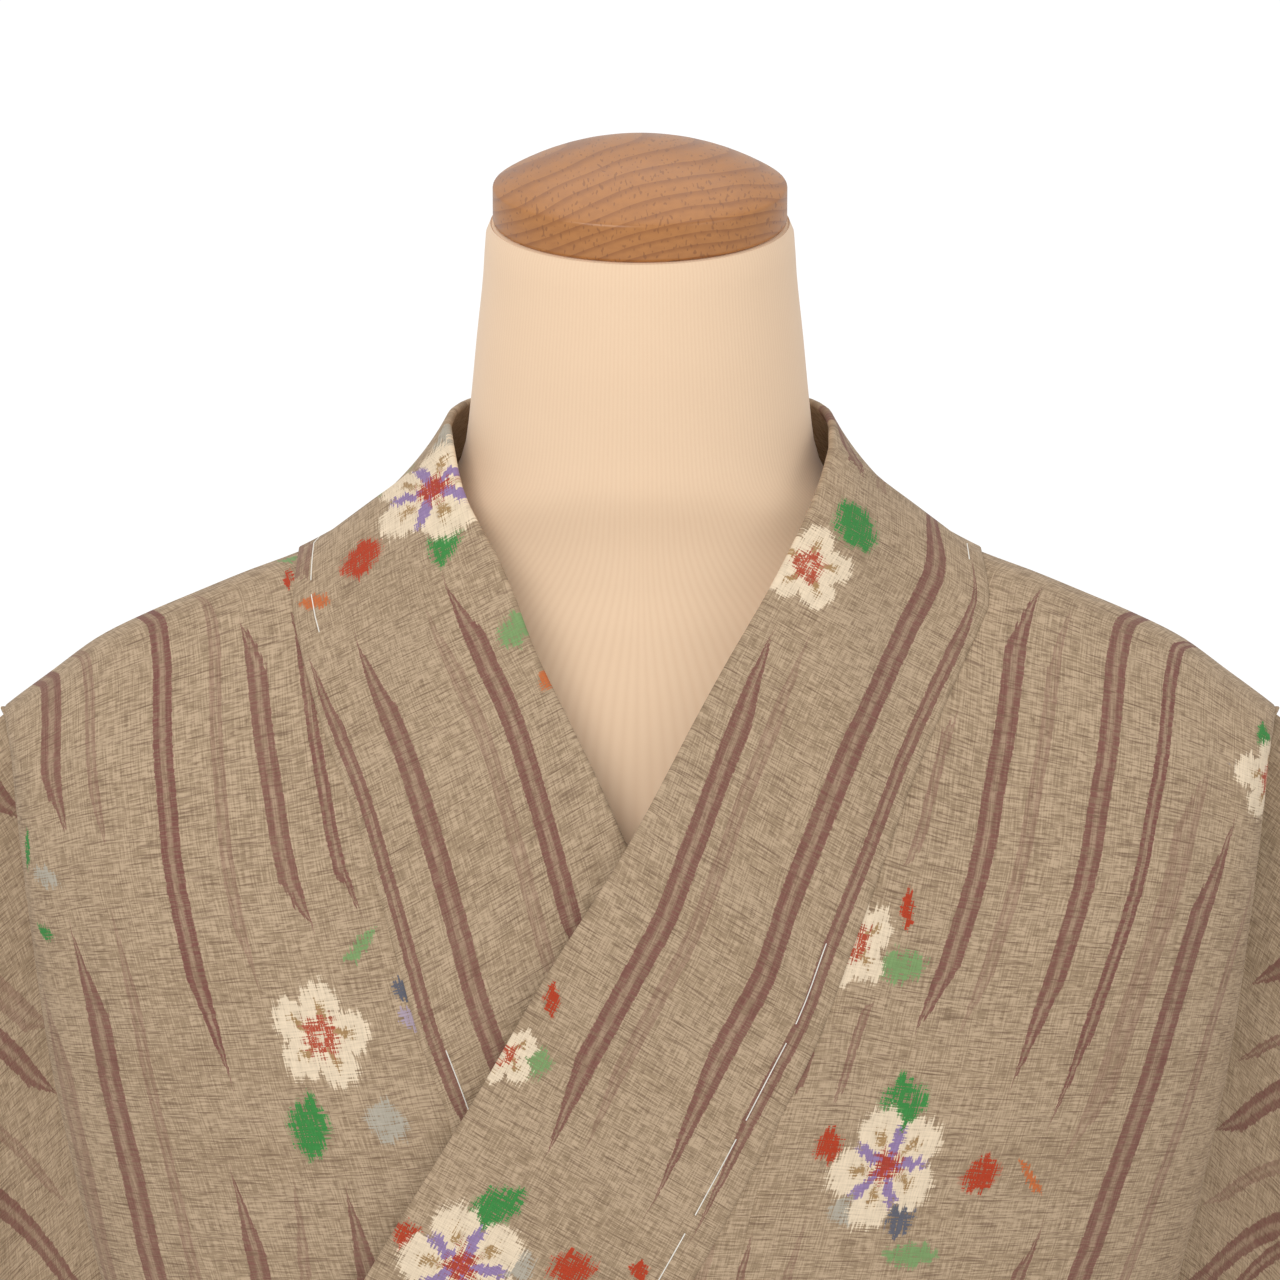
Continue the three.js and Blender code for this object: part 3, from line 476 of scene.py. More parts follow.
def cloth_shell(name, rows, uvs, wall, material, wrap=False):
    """Cloth round a grid of middle points, with rounded long edges. wrap closes the rows into a tube."""
    count, width = len(rows), len(rows[0])
    turns = [math.radians(degrees) for degrees in (30, 70, 90, 110, 150)]
    rounding = [(math.cos(t) * wall / 2, math.sin(t) * 0.45 * wall) for t in turns]
    points, uv = [], []
    for i, row in enumerate(rows):
        before = rows[(i - 1) % count] if wrap or i else row
        after = rows[(i + 1) % count] if wrap or i < count - 1 else row
        outer, inner, ends = [], [], []
        for j in range(width):
            along = after[j] - before[j]
            across = row[min(width - 1, j + 1)] - row[max(0, j - 1)]
            normal = along.cross(across).normalized()
            outer.append(row[j] + normal * wall / 2)
            inner.append(row[j] - normal * wall / 2)
            if j in (0, width - 1):
                aside = across.normalized() * (-1 if j == 0 else 1)
                ends.append((row[j], normal, aside))
        low, high = ends
        ring = outer + [high[0] + high[1] * up + high[2] * out for up, out in rounding]
        ring += inner[::-1] + [low[0] - low[1] * up + low[2] * out for up, out in rounding]
        points += ring
        marks = uvs[i]
        uv += marks + [marks[-1]] * len(turns) + marks[::-1] + [marks[0]] * len(turns)
    size = 2 * width + 2 * len(turns)
    faces = []
    for i in range(count if wrap else count - 1):
        here, there = i * size, ((i + 1) % count) * size
        for j in range(size):
            k = (j + 1) % size
            faces.append((here + j, there + j, there + k, here + k))
    if not wrap:
        for start, flip in ((0, False), ((count - 1) * size, True)):
            ring = [start + j for j in range(size)]
            for j in range(width - 1):
                back = 2 * width + len(turns) - 1 - j
                quad = (ring[j], ring[j + 1], ring[back - 1], ring[back])
                faces.append(quad if not flip else quad[::-1])
            high = ring[width - 1 : width + len(turns) + 1]
            low = ring[2 * width + len(turns) - 1 :] + [ring[0]]
            faces.append(tuple(high) if not flip else tuple(high[::-1]))
            faces.append(tuple(low) if not flip else tuple(low[::-1]))
    return finish_mesh(name, points, faces, material, uv, sharp=55)


def lengths(points):
    """Distance along a line of points, in metres."""
    run = [0.0]
    for a, b in zip(points, points[1:]):
        run.append(run[-1] + (b - a).length * MM)
    return run


def even_rows(start, end, count):
    return [mix(start, end, (i + 1) / count) for i in range(count)]


# Distances of the rows below the shoulder line: close over the shoulder, wider down the skirt.
FIRST_ROW = 1.2
ROWS = [FIRST_ROW * (NECK_ROW / FIRST_ROW) ** (i / SHOULDER_ROWS) for i in range(SHOULDER_ROWS + 1)]
ROWS += even_rows(NECK_ROW, TIP_ROW, CHEST_ROWS) + even_rows(TIP_ROW, WAIST_ROW, WAIST_ROWS)
ROWS += even_rows(WAIST_ROW, HEM_DROP + ROW_LEVEL, SKIRT_ROWS)

# How far the grain leans in towards the middle over the chest, by the distance down the cloth.
GRAIN = [(0, -80), (50, -54), (82, -35), (117, -19), (155, -9), (200, -3), (240, 0)]
grain = through(GRAIN)


def cut_marks(rows, centre, anchor):
    """Woven position of every point: across from the anchored edge, and along from a middle row."""
    column = len(rows[0]) * 3 // 5
    down = lengths([row[column] for row in rows])
    marks = []
    for i, row in enumerate(rows):
        run = lengths(row)
        lean = grain(abs(down[i] - down[centre]) / MM) * MM
        marks.append([(anchor + lean - (run[-1] - r), down[i] - down[centre]) for r in run])
    return marks


# Shader parts.
def feed(tree, socket, value):
    if isinstance(value, bpy.types.NodeSocket):
        tree.links.new(value, socket)
    else:
        socket.default_value = value


def feed_all(tree, sockets, values):
    for key, value in values.items():
        feed(tree, sockets[key], value)


def node(tree, kind, inputs=None, **settings):
    made = tree.nodes.new(kind)
    for key, value in settings.items():
        setattr(made, key, value)
    feed_all(tree, made.inputs, inputs or {})
    return made


def calc(tree, operation, *values, clamp=False):
    made = node(tree, "ShaderNodeMath", operation=operation, use_clamp=clamp)
    for socket, value in zip(made.inputs, values):
        feed(tree, socket, value)
    return made.outputs[0]


def plus(tree, a, b, clamp=False):
    return calc(tree, "ADD", a, b, clamp=clamp)


def minus(tree, a, b):
    return calc(tree, "SUBTRACT", a, b)


def times(tree, a, b):
    return calc(tree, "MULTIPLY", a, b)


def over(tree, a, b):
    return calc(tree, "DIVIDE", a, b)


def size_of(tree, a):
    return calc(tree, "ABSOLUTE", a)


def step(tree, value, low, high):
    """0 below low, 1 above high, smooth between. With low above high it falls."""
    edges = {0: value, 1: low, 2: high, 3: 0.0, 4: 1.0}
    return node(tree, "ShaderNodeMapRange", edges, interpolation_type="SMOOTHSTEP").outputs[0]


def span(tree, value, low, high, at_low, at_high):
    """From at_low to at_high, in step with a value between low and high."""
    return node(tree, "ShaderNodeMapRange", {0: value, 1: low, 2: high, 3: at_low, 4: at_high}).outputs[0]


def vector(tree, x, y, z=0.0):
    return node(tree, "ShaderNodeCombineXYZ", {0: x, 1: y, 2: z}).outputs[0]


def parts(tree, value):
    return node(tree, "ShaderNodeSeparateXYZ", {0: value}).outputs


def distance(tree, value):
    return node(tree, "ShaderNodeVectorMath", {0: value}, operation="LENGTH").outputs["Value"]


def stretched(tree, place, **inputs):
    return node(tree, "ShaderNodeMapping", {"Vector": place, **inputs}).outputs[0]


def cloudy(tree, place, scale, detail):
    inputs = {"Vector": place, "Scale": scale, "Detail": detail}
    return node(tree, "ShaderNodeTexNoise", inputs).outputs[0]


def relief(tree, strength, depth, height):
    inputs = {"Strength": strength, "Distance": depth, "Height": height}
    return node(tree, "ShaderNodeBump", inputs).outputs[0]


def tint(tree, factor, a, b):
    made = node(tree, "ShaderNodeMix", data_type="RGBA")
    feed_all(tree, made.inputs, {0: factor, 6: a, 7: b})
    return made.outputs[2]


def new_material(name):
    material = bpy.data.materials.new(name)
    material.use_nodes = True
    return material, material.node_tree, material.node_tree.nodes["Principled BSDF"]


def colour(settings, key):
    return (*getattr(settings, key), 1.0)


VECTOR, VALUE, COLOUR = "NodeSocketVector", "NodeSocketFloat", "NodeSocketColor"


def shader_group(name, inputs, outputs):
    tree = bpy.data.node_groups.get(name)
    if tree:
        return tree, None, None
    tree = bpy.data.node_groups.new(name, "ShaderNodeTree")
    for label, kind, default in inputs:
        socket = tree.interface.new_socket(name=label, in_out="INPUT", socket_type=kind)
        if default is not None:
            socket.default_value = default
    for label, kind in outputs:
        tree.interface.new_socket(name=label, in_out="OUTPUT", socket_type=kind)
    return tree, node(tree, "NodeGroupInput").outputs, node(tree, "NodeGroupOutput")


def use_group(tree, name, inputs):
    return node(tree, "ShaderNodeGroup", inputs, node_tree=bpy.data.node_groups[name]).outputs


def build_thread_shift():
    """Moves a woven pattern thread by thread, so that its ends and edges feather as resist-dyed ones do."""
    tree, given, out = shader_group(
        "thread shift",
        [
            ("Place", VECTOR, None),
            ("Threads", VALUE, 900.0),
            ("Shift", VALUE, 0.004),
            ("Sideways", VALUE, 0.0004),
        ],
        [("Place", VECTOR)],
    )
    if not out:
        return
    across, along = parts(tree, given["Place"])[:2]

    def jumps(at, slow_share):
        thread = calc(tree, "FLOOR", times(tree, at, given["Threads"]))
        jump = node(tree, "ShaderNodeTexWhiteNoise", {"W": thread}, noise_dimensions="1D").outputs["Value"]
        wave = {"W": times(tree, at, 260.0), "Scale": 1.0, "Detail": 0.0}
        slow = node(tree, "ShaderNodeTexNoise", wave, noise_dimensions="1D").outputs[0]
        both = plus(tree, times(tree, jump, 1 - slow_share), times(tree, slow, slow_share))
        return minus(tree, both, 0.5)

    down = times(tree, jumps(across, 0.45), given["Shift"])
    aside = times(tree, jumps(along, 0.3), given["Sideways"])
    feed(tree, out.inputs[0], vector(tree, plus(tree, across, aside), plus(tree, along, down)))


def build_ground():
    """Plain slubbed silk: tone of its threads, dark weft slubs and the height of the weave."""
    tree, given, out = shader_group(
        "slubbed ground",
        [("Place", VECTOR, None)],
        [("Tone", VALUE), ("Slub", VALUE), ("Weft", VALUE), ("Height", VALUE)],
    )
    if not out:
        return

    def threads(across, along, detail, seed):
        """Unevenness so many times finer than a metre across the cloth and along it."""
        spot = stretched(tree, given["Place"], Scale=(across, along, 1.0), Location=(seed, seed * 1.7, 0.0))
        inputs = {"Vector": spot, "Scale": 1.0, "Detail": detail, "Roughness": 0.6}
        return node(tree, "ShaderNodeTexNoise", inputs, noise_dimensions="2D").outputs[0]

    cloud = threads(14.0, 60.0, 1.0, 1.0)
    weft = threads(150.0, 1900.0, 0.0, 3.0)
    warp = threads(1900.0, 130.0, 0.0, 5.0)
    long_slub = threads(55.0, 1350.0, 1.0, 9.0)
    short_slub = threads(330.0, 1500.0, 0.0, 13.0)
    tone = plus(
        tree, times(tree, cloud, 0.22), plus(tree, times(tree, weft, 0.42), times(tree, warp, 0.36)),
    )
    short = times(tree, step(tree, short_slub, 0.62, 0.82), 0.7)
    slub = calc(tree, "MAXIMUM", step(tree, long_slub, 0.58, 0.74), short)
    feed_all(tree, out.inputs, {"Tone": tone, "Slub": slub, "Weft": weft, "Height": plus(tree, weft, warp)})


# Step between codes in the third coordinate, marks that read the same place, a mark's reach in half sizes,
# and a place outside all marks.
CODE_UNIT = 0.001
MARKS_IN_A_RUN = 4
MARK_REACH = 1.4
NO_MARK = (9.0, 9.0, 0.0)


def build_mark_place():
    """Keeps the local place inside the mark that a point lies in. The third coordinate carries the mark's
    code. The place can go on through the mark, so that a renderer works through a long row of marks a few
    at a time."""
    tree, given, out = shader_group(
        "mark place",
        [(name, VECTOR, None) for name in ("Held", "Place", "Centre", "Turn", "Size")],
        [("Held", VECTOR), ("Place", VECTOR)],
    )
    if not out:
        return
    frame_of = {"Location": "Centre", "Rotation": "Turn", "Scale": "Size"}
    inputs = {"Vector": given["Place"], **{key: given[name] for key, name in frame_of.items()}}
    local = node(tree, "ShaderNodeMapping", inputs, vector_type="TEXTURE").outputs[0]
    inside = calc(tree, "LESS_THAN", distance(tree, local), MARK_REACH)
    pick = node(tree, "ShaderNodeMix", {0: inside, 4: given["Held"], 5: local}, data_type="VECTOR")
    held = pick.outputs[1]
    inputs = {0: held, 1: (0.0, 0.0, 0.0), 2: given["Place"]}
    passed = node(tree, "ShaderNodeVectorMath", inputs, operation="MULTIPLY_ADD").outputs[0]
    feed_all(tree, out.inputs, {"Held": held, "Place": passed})


def build_stripe():
    """A long stripe: two dark bands with a paler middle, pointed at its ends. Its code is its strength."""
    tree, given, out = shader_group("woven stripe", [("Mark", VECTOR, None)], [("Mask", VALUE)])
    if not out:
        return
    across, along, code = parts(tree, given["Mark"])[:3]
    side = times(tree, across, calc(tree, "SIGN", along))
    point = span(tree, size_of(tree, along), 0.66, 1.0, 0.0, 1.0)
    narrow = calc(tree, "MAXIMUM", minus(tree, 1.0, point), 0.04)
    share = size_of(tree, minus(tree, over(tree, plus(tree, side, 1.0), narrow), 1.0))
    edge = step(tree, share, 1.0, 0.9)
    band = plus(tree, times(tree, step(tree, share, 0.12, 0.42), 0.56), 0.44)
    strength = over(tree, code, CODE_UNIT)
    feed(tree, out.inputs[0], times(tree, times(tree, edge, band), strength))


def build_flower():
    """A small five-petalled flower. Code 1 has a red ring and stamens. Code 2 has a smaller red heart and a
    violet star between its petals."""
    tree, given, out = shader_group(
        "woven flower",
        [("Mark", VECTOR, None), ("Uneven", VALUE, 0.0)]
        + [(name, COLOUR, None) for name in ("Petal", "Star", "Heart", "Stamen")],
        [("Colour", COLOUR), ("Mask", VALUE)],
    )
    if not out:
        return
    x, y, code = parts(tree, given["Mark"])[:3]
    reach = distance(tree, vector(tree, x, y))
    turn = times(tree, calc(tree, "ARCTAN2", x, y), 2.5)
    lobes = size_of(tree, calc(tree, "COSINE", turn))
    between = size_of(tree, calc(tree, "SINE", turn))
    petal_edge = plus(tree, 0.54, times(tree, calc(tree, "POWER", lobes, 0.55), 0.4))
    petal = step(tree, minus(tree, petal_edge, reach), -0.1, 0.16)
    second = calc(tree, "GREATER_THAN", code, 1.5 * CODE_UNIT)
    star_edge = plus(tree, 0.16, times(tree, calc(tree, "POWER", between, 6.0), 0.62))
    ragged = plus(tree, reach, given["Uneven"])
    star = times(tree, times(tree, step(tree, minus(tree, star_edge, ragged), -0.04, 0.07), second), 0.9)
    heart_edge = minus(tree, plus(tree, 0.26, times(tree, lobes, 0.06)), times(tree, second, 0.1))
    hollow = calc(tree, "MAXIMUM", step(tree, ragged, 0.02, 0.14), second)
    heart = times(tree, step(tree, minus(tree, heart_edge, ragged), -0.06, 0.05), hollow)
    ring = times(tree, step(tree, ragged, 0.3, 0.36), step(tree, ragged, 0.6, 0.5))
    tips = times(tree, step(tree, lobes, 0.88, 0.96), ring)
    paint = tint(tree, star, given["Petal"], given["Star"])
    paint = tint(tree, times(tree, tips, 0.85), paint, given["Stamen"])
    paint = tint(tree, times(tree, heart, 0.95), paint, given["Heart"])
    feed_all(tree, out.inputs, {"Colour": paint, "Mask": petal})


# Dyes of leaves, buds and flecks in the order of their codes, and the step between them on the ramp.
DYES = ("leaf", "pale_leaf", "bud", "mustard", "slate", "lavender", "orange", "pale_grey", "cream")
DYE_STEP = 0.1


def build_leaf(settings):
    """A leaf, bud or fleck, rounded at its sides and ragged at its ends. Its code picks the dye."""
    tree, given, out = shader_group(
        "woven leaf", [("Mark", VECTOR, None)], [("Colour", COLOUR), ("Mask", VALUE)],
    )
    if not out:
        return
    x, y, code = parts(tree, given["Mark"])[:3]
    edge = minus(tree, 1.0, calc(tree, "POWER", size_of(tree, y), 2.2))
    mask = step(tree, minus(tree, edge, size_of(tree, x)), -0.15, 0.6)
    ramp = node(tree, "ShaderNodeValToRGB", {0: times(tree, code, DYE_STEP / CODE_UNIT)})
    ramp.color_ramp.interpolation = "CONSTANT"
    elements = ramp.color_ramp.elements
    while len(elements) < len(DYES):
        elements.new(0.5)
    for index, dye in enumerate(DYES):
        elements[index].position = DYE_STEP * (index + 0.5)
        elements[index].color = colour(settings, dye)
    feed_all(tree, out.inputs, {"Colour": ramp.outputs[0], "Mask": mask})


# What is woven into each piece. Places that the photograph shows are given as the front
# view shows them, in millimetres: distance right of the middle, and drop.
# Seen stripes: start, end, half width, strength, and how much longer they are before and after what shows.
# Seen flowers and leaves: place, half width, half length, lean to the right in degrees, code.
# Woven ones lie in the rest of the repeat, and are given in millimetres across and along the cloth itself.
# Flowers: code 1 cream, 2 with a violet star. Leaves and flecks: 1 leaf, 2 pale leaf, 3 bud, 4 mustard,
# 5 slate, 6 lavender, 7 orange, 8 pale grey, 9 cream.
PATTERNS = {
    "body_right": {
        "repeat": (-110, 400),
        "seen_stripes": [
            (-238.6, -108.7, -228.7, -173.2, 4.2, 0.85, 60, 0), (-224, -100, -211, -180, 2.0, 0.45, 30, 0),
            (-197, -83.5, -164, -270.5, 4.1, 0.95, 60, 0), (-176.4, -75, -152, -233, 2.6, 0.4, 0, 0),
            (-153.5, -85.4, -132.3, -209.4, 4.2, 0.85, 0, 0), (-135, -83.5, -112, -203, 2.6, 0.9, 0, 0),
            (-232, -232, -208, -346.5, 5, 0.4, 0, 60), (-219, -209.4, -190, -346.5, 4.4, 0.85, 0, 50),
            (-206, -199, -174.4, -346.5, 2.2, 0.4, 0, 50), (-156, -306, -149, -346.5, 4.2, 0.85, 0, 130),
            (-134.3, -306, -131.5, -346.5, 2.2, 0.4, 0, 120),
            (-111.4, -311, -108.3, -336.6, 4.2, 0.8, 0, 130),
        ],
        "seen_flowers": [(-125.6, -250.4, 20.5, 20.5, 0, 1)],
        "seen_leaves": [
            (-130.3, -286.2, 8.5, 14, 0, 1), (-110.2, -215, 2.6, 10, 40, 2), (-99.6, -284, 9, 9, 0, 8),
            (-93, -232, 4.5, 5, 0, 5), (-90.6, -243, 4.5, 4.5, 0, 6), (-137.8, -71, 2.5, 3.5, 0, 3),
            (-139, -63, 5, 2, 0, 2), (-240.6, -177, 1.5, 9, 0, 1), (-233.5, -188, 6, 4, 0, 8),
            (-233.5, -209.4, 4, 3, 0, 1),
        ],
        "woven_stripes": [(262, 290, 395, 4.2, 0.8), (38, 290, 390, 4.2, 0.9), (80, -100, -10, 4.2, 0.85)],
        "woven_flowers": [(230, 360, 22, 22, 10, 2)],
        "woven_leaves": [(248, 330, 9, 13, 20, 1), (134, -90, 8, 12, 0, 2)],
    },
    "body_left": {
        "repeat": (-110, 400),
        "seen_stripes": [
            (153.5, -73.6, 112.6, -250, 4.5, 0.9, 0, 0), (167.7, -81.5, 127.6, -252, 2.8, 0.38, 0, 0),
            (194.5, -86.2, 149.6, -271.7, 4.3, 0.9, 50, 0), (214.2, -96.6, 163.4, -285.4, 2.7, 0.95, 30, 0),
            (220, -142.5, 171.3, -299, 4.5, 0.35, 0, 0), (229.5, -164, 175.2, -338.6, 4.3, 0.88, 0, 50),
            (241.7, -182.7, 193, -338.6, 2.0, 0.45, 0, 50), (123, -122, 105.3, -185, 2.2, 0.5, 0, 0),
            (70, -235.2, 58, -276.4, 4, 0.8, 0, 0), (90.6, -235, 77.2, -277.6, 1.8, 0.6, 0, 0),
            (153.5, -326.8, 149.6, -338.6, 4, 0.85, 0, 150), (63.8, -321, 59.4, -338.6, 2, 0.35, 0, 120),
            (42, -326.8, 38.4, -346.5, 2.5, 0.7, 0, 120),
        ],
        "seen_flowers": [(84, -213, 17, 17, 0, 1), (96.5, -302, 24, 24, -8, 2), (248, -149, 17, 17, 0, 1)],
        "seen_leaves": [
            (102.4, -222.8, 6, 12, 90, 2), (105.3, -200.4, 3, 7, 0, 3), (103.3, -277.6, 10, 12, 0, 1),
            (74.4, -293.3, 6, 7, 0, 3), (134, -305, 8, 8, 0, 3), (153.5, -306, 1.8, 9, 146, 7),
            (102, -322.4, 6, 8, 20, 5), (81.7, -318, 8, 7, 0, 8), (106.3, -336.6, 5, 12, 90, 2),
            (239.8, -147, 7, 4, 0, 5), (245.3, -134, 3, 7, 0, 1), (250, -176, 6, 5, 0, 1),
        ],
        "woven_stripes": [
            (240, 300, 395, 4.3, 0.85), (112, 290, 390, 4.3, 0.9), (120, -104, -30, 4.3, 0.85),
        ],
        "woven_flowers": [(206, 360, 22, 22, 6, 2)],
        "woven_leaves": [(184, 330, 8, 13, -20, 1)],
    },
    "collar_right": {
        "repeat": (-560, 560),
        "seen_stripes": [
            (-107, -93.3, -56.3, -258, 4.6, 0.85, 0, 50), (-81, -82.7, -36.6, -219.3, 3, 0.35, 0, 30),
            (-72.4, -71, -26.8, -205.5, 4.4, 0.9, 0, 30), (-127.6, -99.2, -71, -278.3, 2.8, 0.85, 0, 30),
            (-130, -56, -133.5, -72.8, 3, 0.6, 0, 0),
        ],
        "seen_flowers": [(-81, -36, 24, 24, 20, 2)],
        "seen_leaves": [
            (-75.8, -53, 7, 15, 10, 1), (-90, -33, 5, 5, 0, 5), (-96, -31.5, 2.5, 10, 35, 2),
            (-109, -63.4, 8, 8, 0, 3), (-127.6, -80.3, 2.5, 7, 90, 7), (-48.2, -90.6, 7, 10, 40, 2),
            (-35.4, -111.2, 5, 5, 0, 7), (-77.8, -20.7, 5, 4, 0, 8),
        ],
        "woven_stripes": [(30, -530, -480, 4.6, 0.85), (62, -60, 60, 2.8, 0.4)],
        "woven_flowers": [(56, -525, 20, 20, 0, 1)],
        "woven_leaves": [(70, -492, 7, 12, 0, 1)],
    },
    "collar_left": {
        "repeat": (-560, 560),
        "seen_stripes": [
            (56, -94.5, -41.3, -295.3, 4.7, 0.9, 0, 0), (69, -95.3, -24.8, -294, 3, 0.38, 0, 0),
            (115.4, -45.3, 0, -315, 4.8, 0.9, 30, 0), (132.3, -67, 17.7, -328.7, 2.9, 0.85, 0, 0),
            (84, -8, 84.6, -30, 3.5, 0.8, 0, 0), (94, -28, 94, -38, 2, 0.35, 0, 0),
        ],
        "seen_flowers": [(66, -66, 18, 18, 20, 1), (-53, -256, 14, 14, 0, 1), (-70, -340.6, 26, 26, -8, 2)],
        "seen_leaves": [
            (84.6, -51.2, 8, 12, -20, 1), (-44.3, -260, 7, 12, 90, 2), (-34.4, -236, 3.5, 7, 0, 3),
            (-57, -318, 8, 15, 60, 1), (-91, -328.7, 7, 6, 0, 3), (-84.6, -332.7, 4, 4, 0, 8),
            (-48.2, -340.6, 8, 7, 0, 8), (-26.6, -341.5, 10, 8, 0, 3), (0, -342.5, 4, 5, 0, 3),
        ],
        "woven_stripes": [],
        "woven_flowers": [],
        "woven_leaves": [],
    },
    "overlap_left": {
        "repeat": (-60, 560),
        "seen_stripes": [(33.5, -313.8, 23.6, -344.5, 3, 0.3, 0, 100)],
        "seen_flowers": [],
        "seen_leaves": [],
        "woven_stripes": [
            (40, 230, 380, 4.4, 0.85), (66, 260, 420, 2.4, 0.4), (90, 330, 520, 4.4, 0.85),
            (24, 420, 545, 4.4, 0.85), (112, 180, 330, 4.4, 0.85),
        ],
        "woven_flowers": [(60, 480, 21, 21, 0, 2)],
        "woven_leaves": [(78, 452, 8, 13, 0, 1), (38, 400, 6, 7, 0, 3)],
    },
    "sleeve_left": {
        "repeat": (-300, 320),
        "seen_stripes": [
            (252, -224.4, 242.1, -234.3, 4.2, 0.85, 90, 0), (252, -251.2, 235, -262.2, 2, 0.7, 60, 0),
            (252, -272.8, 227.2, -292.1, 4.4, 0.85, 80, 0), (252, -301.6, 221.3, -319.3, 2.6, 0.45, 60, 0),
            (252, -324.4, 227.2, -340.2, 4.3, 0.85, 60, 40),
            (252, -333.9, 237.4, -346.5, 2.6, 0.85, 40, 60),
        ],
        "seen_flowers": [],
        "seen_leaves": [],
        "woven_stripes": [
            (176, 120, 290, 4.3, 0.85), (214, 30, 150, 4.3, 0.9), (292, 40, 220, 4.3, 0.85),
            (130, -280, -120, 4.3, 0.85), (60, -240, -60, 4.3, 0.85), (220, -200, -20, 4.3, 0.85),
            (290, -280, -140, 2.6, 0.4),
        ],
        "woven_flowers": [(148, 240, 22, 22, 0, 2), (250, 60, 20, 20, 15, 1), (170, -60, 20, 20, 0, 1)],
        "woven_leaves": [
            (124, 214, 8, 13, 20, 1), (236, 92, 7, 7, 0, 3), (180, 270, 6, 8, 0, 5),
            (196, -90, 8, 12, 0, 2),
        ],
    },
}
PATTERNS["overlap_right"] = dict(PATTERNS["overlap_left"], seen_stripes=[], seen_leaves=[])
PATTERNS["sleeve_right"] = dict(
    PATTERNS["sleeve_left"],
    seen_stripes=[
        (-252, -156.3, -243.3, -169.3, 4, 0.85, 60, 0), (-252, -233, -233.5, -252, 5, 0.4, 60, 0),
        (-252, -252.8, -230.7, -277.6, 4.3, 0.85, 80, 0), (-252, -288.2, -225.6, -318.9, 2.2, 0.4, 60, 0),
        (-252, -315.7, -224.4, -346.5, 4.3, 0.85, 60, 30),
    ],
)


# Least share of its woven area that a spot of cloth shows when it faces the front, and the most that a
# stripe or a motif is widened where the cloth is seen aslant.
LEAST_FACING = 0.3
WIDEST_STRIPE, WIDEST_MOTIF = 1.4, 1.5


def crossed(a, b):
    return a.x * b.y - a.y * b.x


def place_finder(rows, marks):
    """For cloth that faces the front: from a place in the front view to the woven place there."""
    view = [[seen(point) for point in row] for row in rows]
    spots = []
    for i in range(1, len(rows) - 1):
        for j in range(1, len(rows[0]) - 1):
            across, along = view[i][j + 1] - view[i][j - 1], view[i + 1][j] - view[i - 1][j]
            woven_across = Vector(marks[i][j + 1]) - Vector(marks[i][j - 1])
            woven_along = Vector(marks[i + 1][j]) - Vector(marks[i - 1][j])
            area = crossed(across, along)
            if abs(area) * MM * MM > LEAST_FACING * abs(crossed(woven_across, woven_along)):
                spots.append(
                    (view[i][j], across, along, woven_across, woven_along, area, Vector(marks[i][j]))
                )

    def find(x, z, lean=0.0):
        place = Vector((x, z))
        spot = min(spots, key=lambda each: (each[0] - place).length_squared)
        here, across, along, woven_across, woven_along, area, mark = spot

        def woven(by):
            return woven_across * (crossed(by, along) / area) + woven_along * (crossed(across, by) / area)

        turn = math.radians(lean)
        up, aside = Vector((math.sin(turn), math.cos(turn))), Vector((math.cos(turn), -math.sin(turn)))
        return mark + woven(place - here), woven(up), woven(aside)

    return find


def woven_marks(name, find):
    """All marks of a piece in woven metres: centre, code, turn, half width and half length."""
    pattern = PATTERNS[name]
    marks = {"stripes": [], "flowers": [], "leaves": []}
    for x0, z0, x1, z1, half, strength, before, after in pattern["seen_stripes"]:
        start, end = find(x0, z0)[0], find(x1, z1)[0]
        along = (end - start).normalized()
        start, end = start - along * before * MM, end + along * after * MM
        lean = math.degrees(math.atan2(x0 - x1, z0 - z1))
        sideways = find((x0 + x1) / 2, (z0 + z1) / 2, lean)[2]
        width = half * max(MM, min(WIDEST_STRIPE * MM, abs(crossed(sideways, along))))
        centre, turn, length = (start + end) / 2, math.atan2(-along.x, along.y), (end - start).length / 2
        marks["stripes"].append((centre, strength, turn, width, length))
    for across, start, end, half, strength in pattern["woven_stripes"]:
        centre = Vector((across, (start + end) / 2)) * MM
        marks["stripes"].append((centre, strength, 0.0, half * MM, (end - start) / 2 * MM))
    for kind in ("flowers", "leaves"):
        for x, z, half_width, half_length, lean, code in pattern["seen_" + kind]:
            centre, up, aside = find(x, z, lean)
            width, length = (
                half * max(MM, min(WIDEST_MOTIF * MM, by.length))
                for half, by in ((half_width, aside), (half_length, up))
            )
            marks[kind].append((centre, code, math.atan2(-up.x, up.y), width, length))
        for across, along, half_width, half_length, lean, code in pattern["woven_" + kind]:
            centre, turn = Vector((across, along)) * MM, math.radians(lean + 180)
            marks[kind].append((centre, code, turn, half_width * MM, half_length * MM))
    return marks


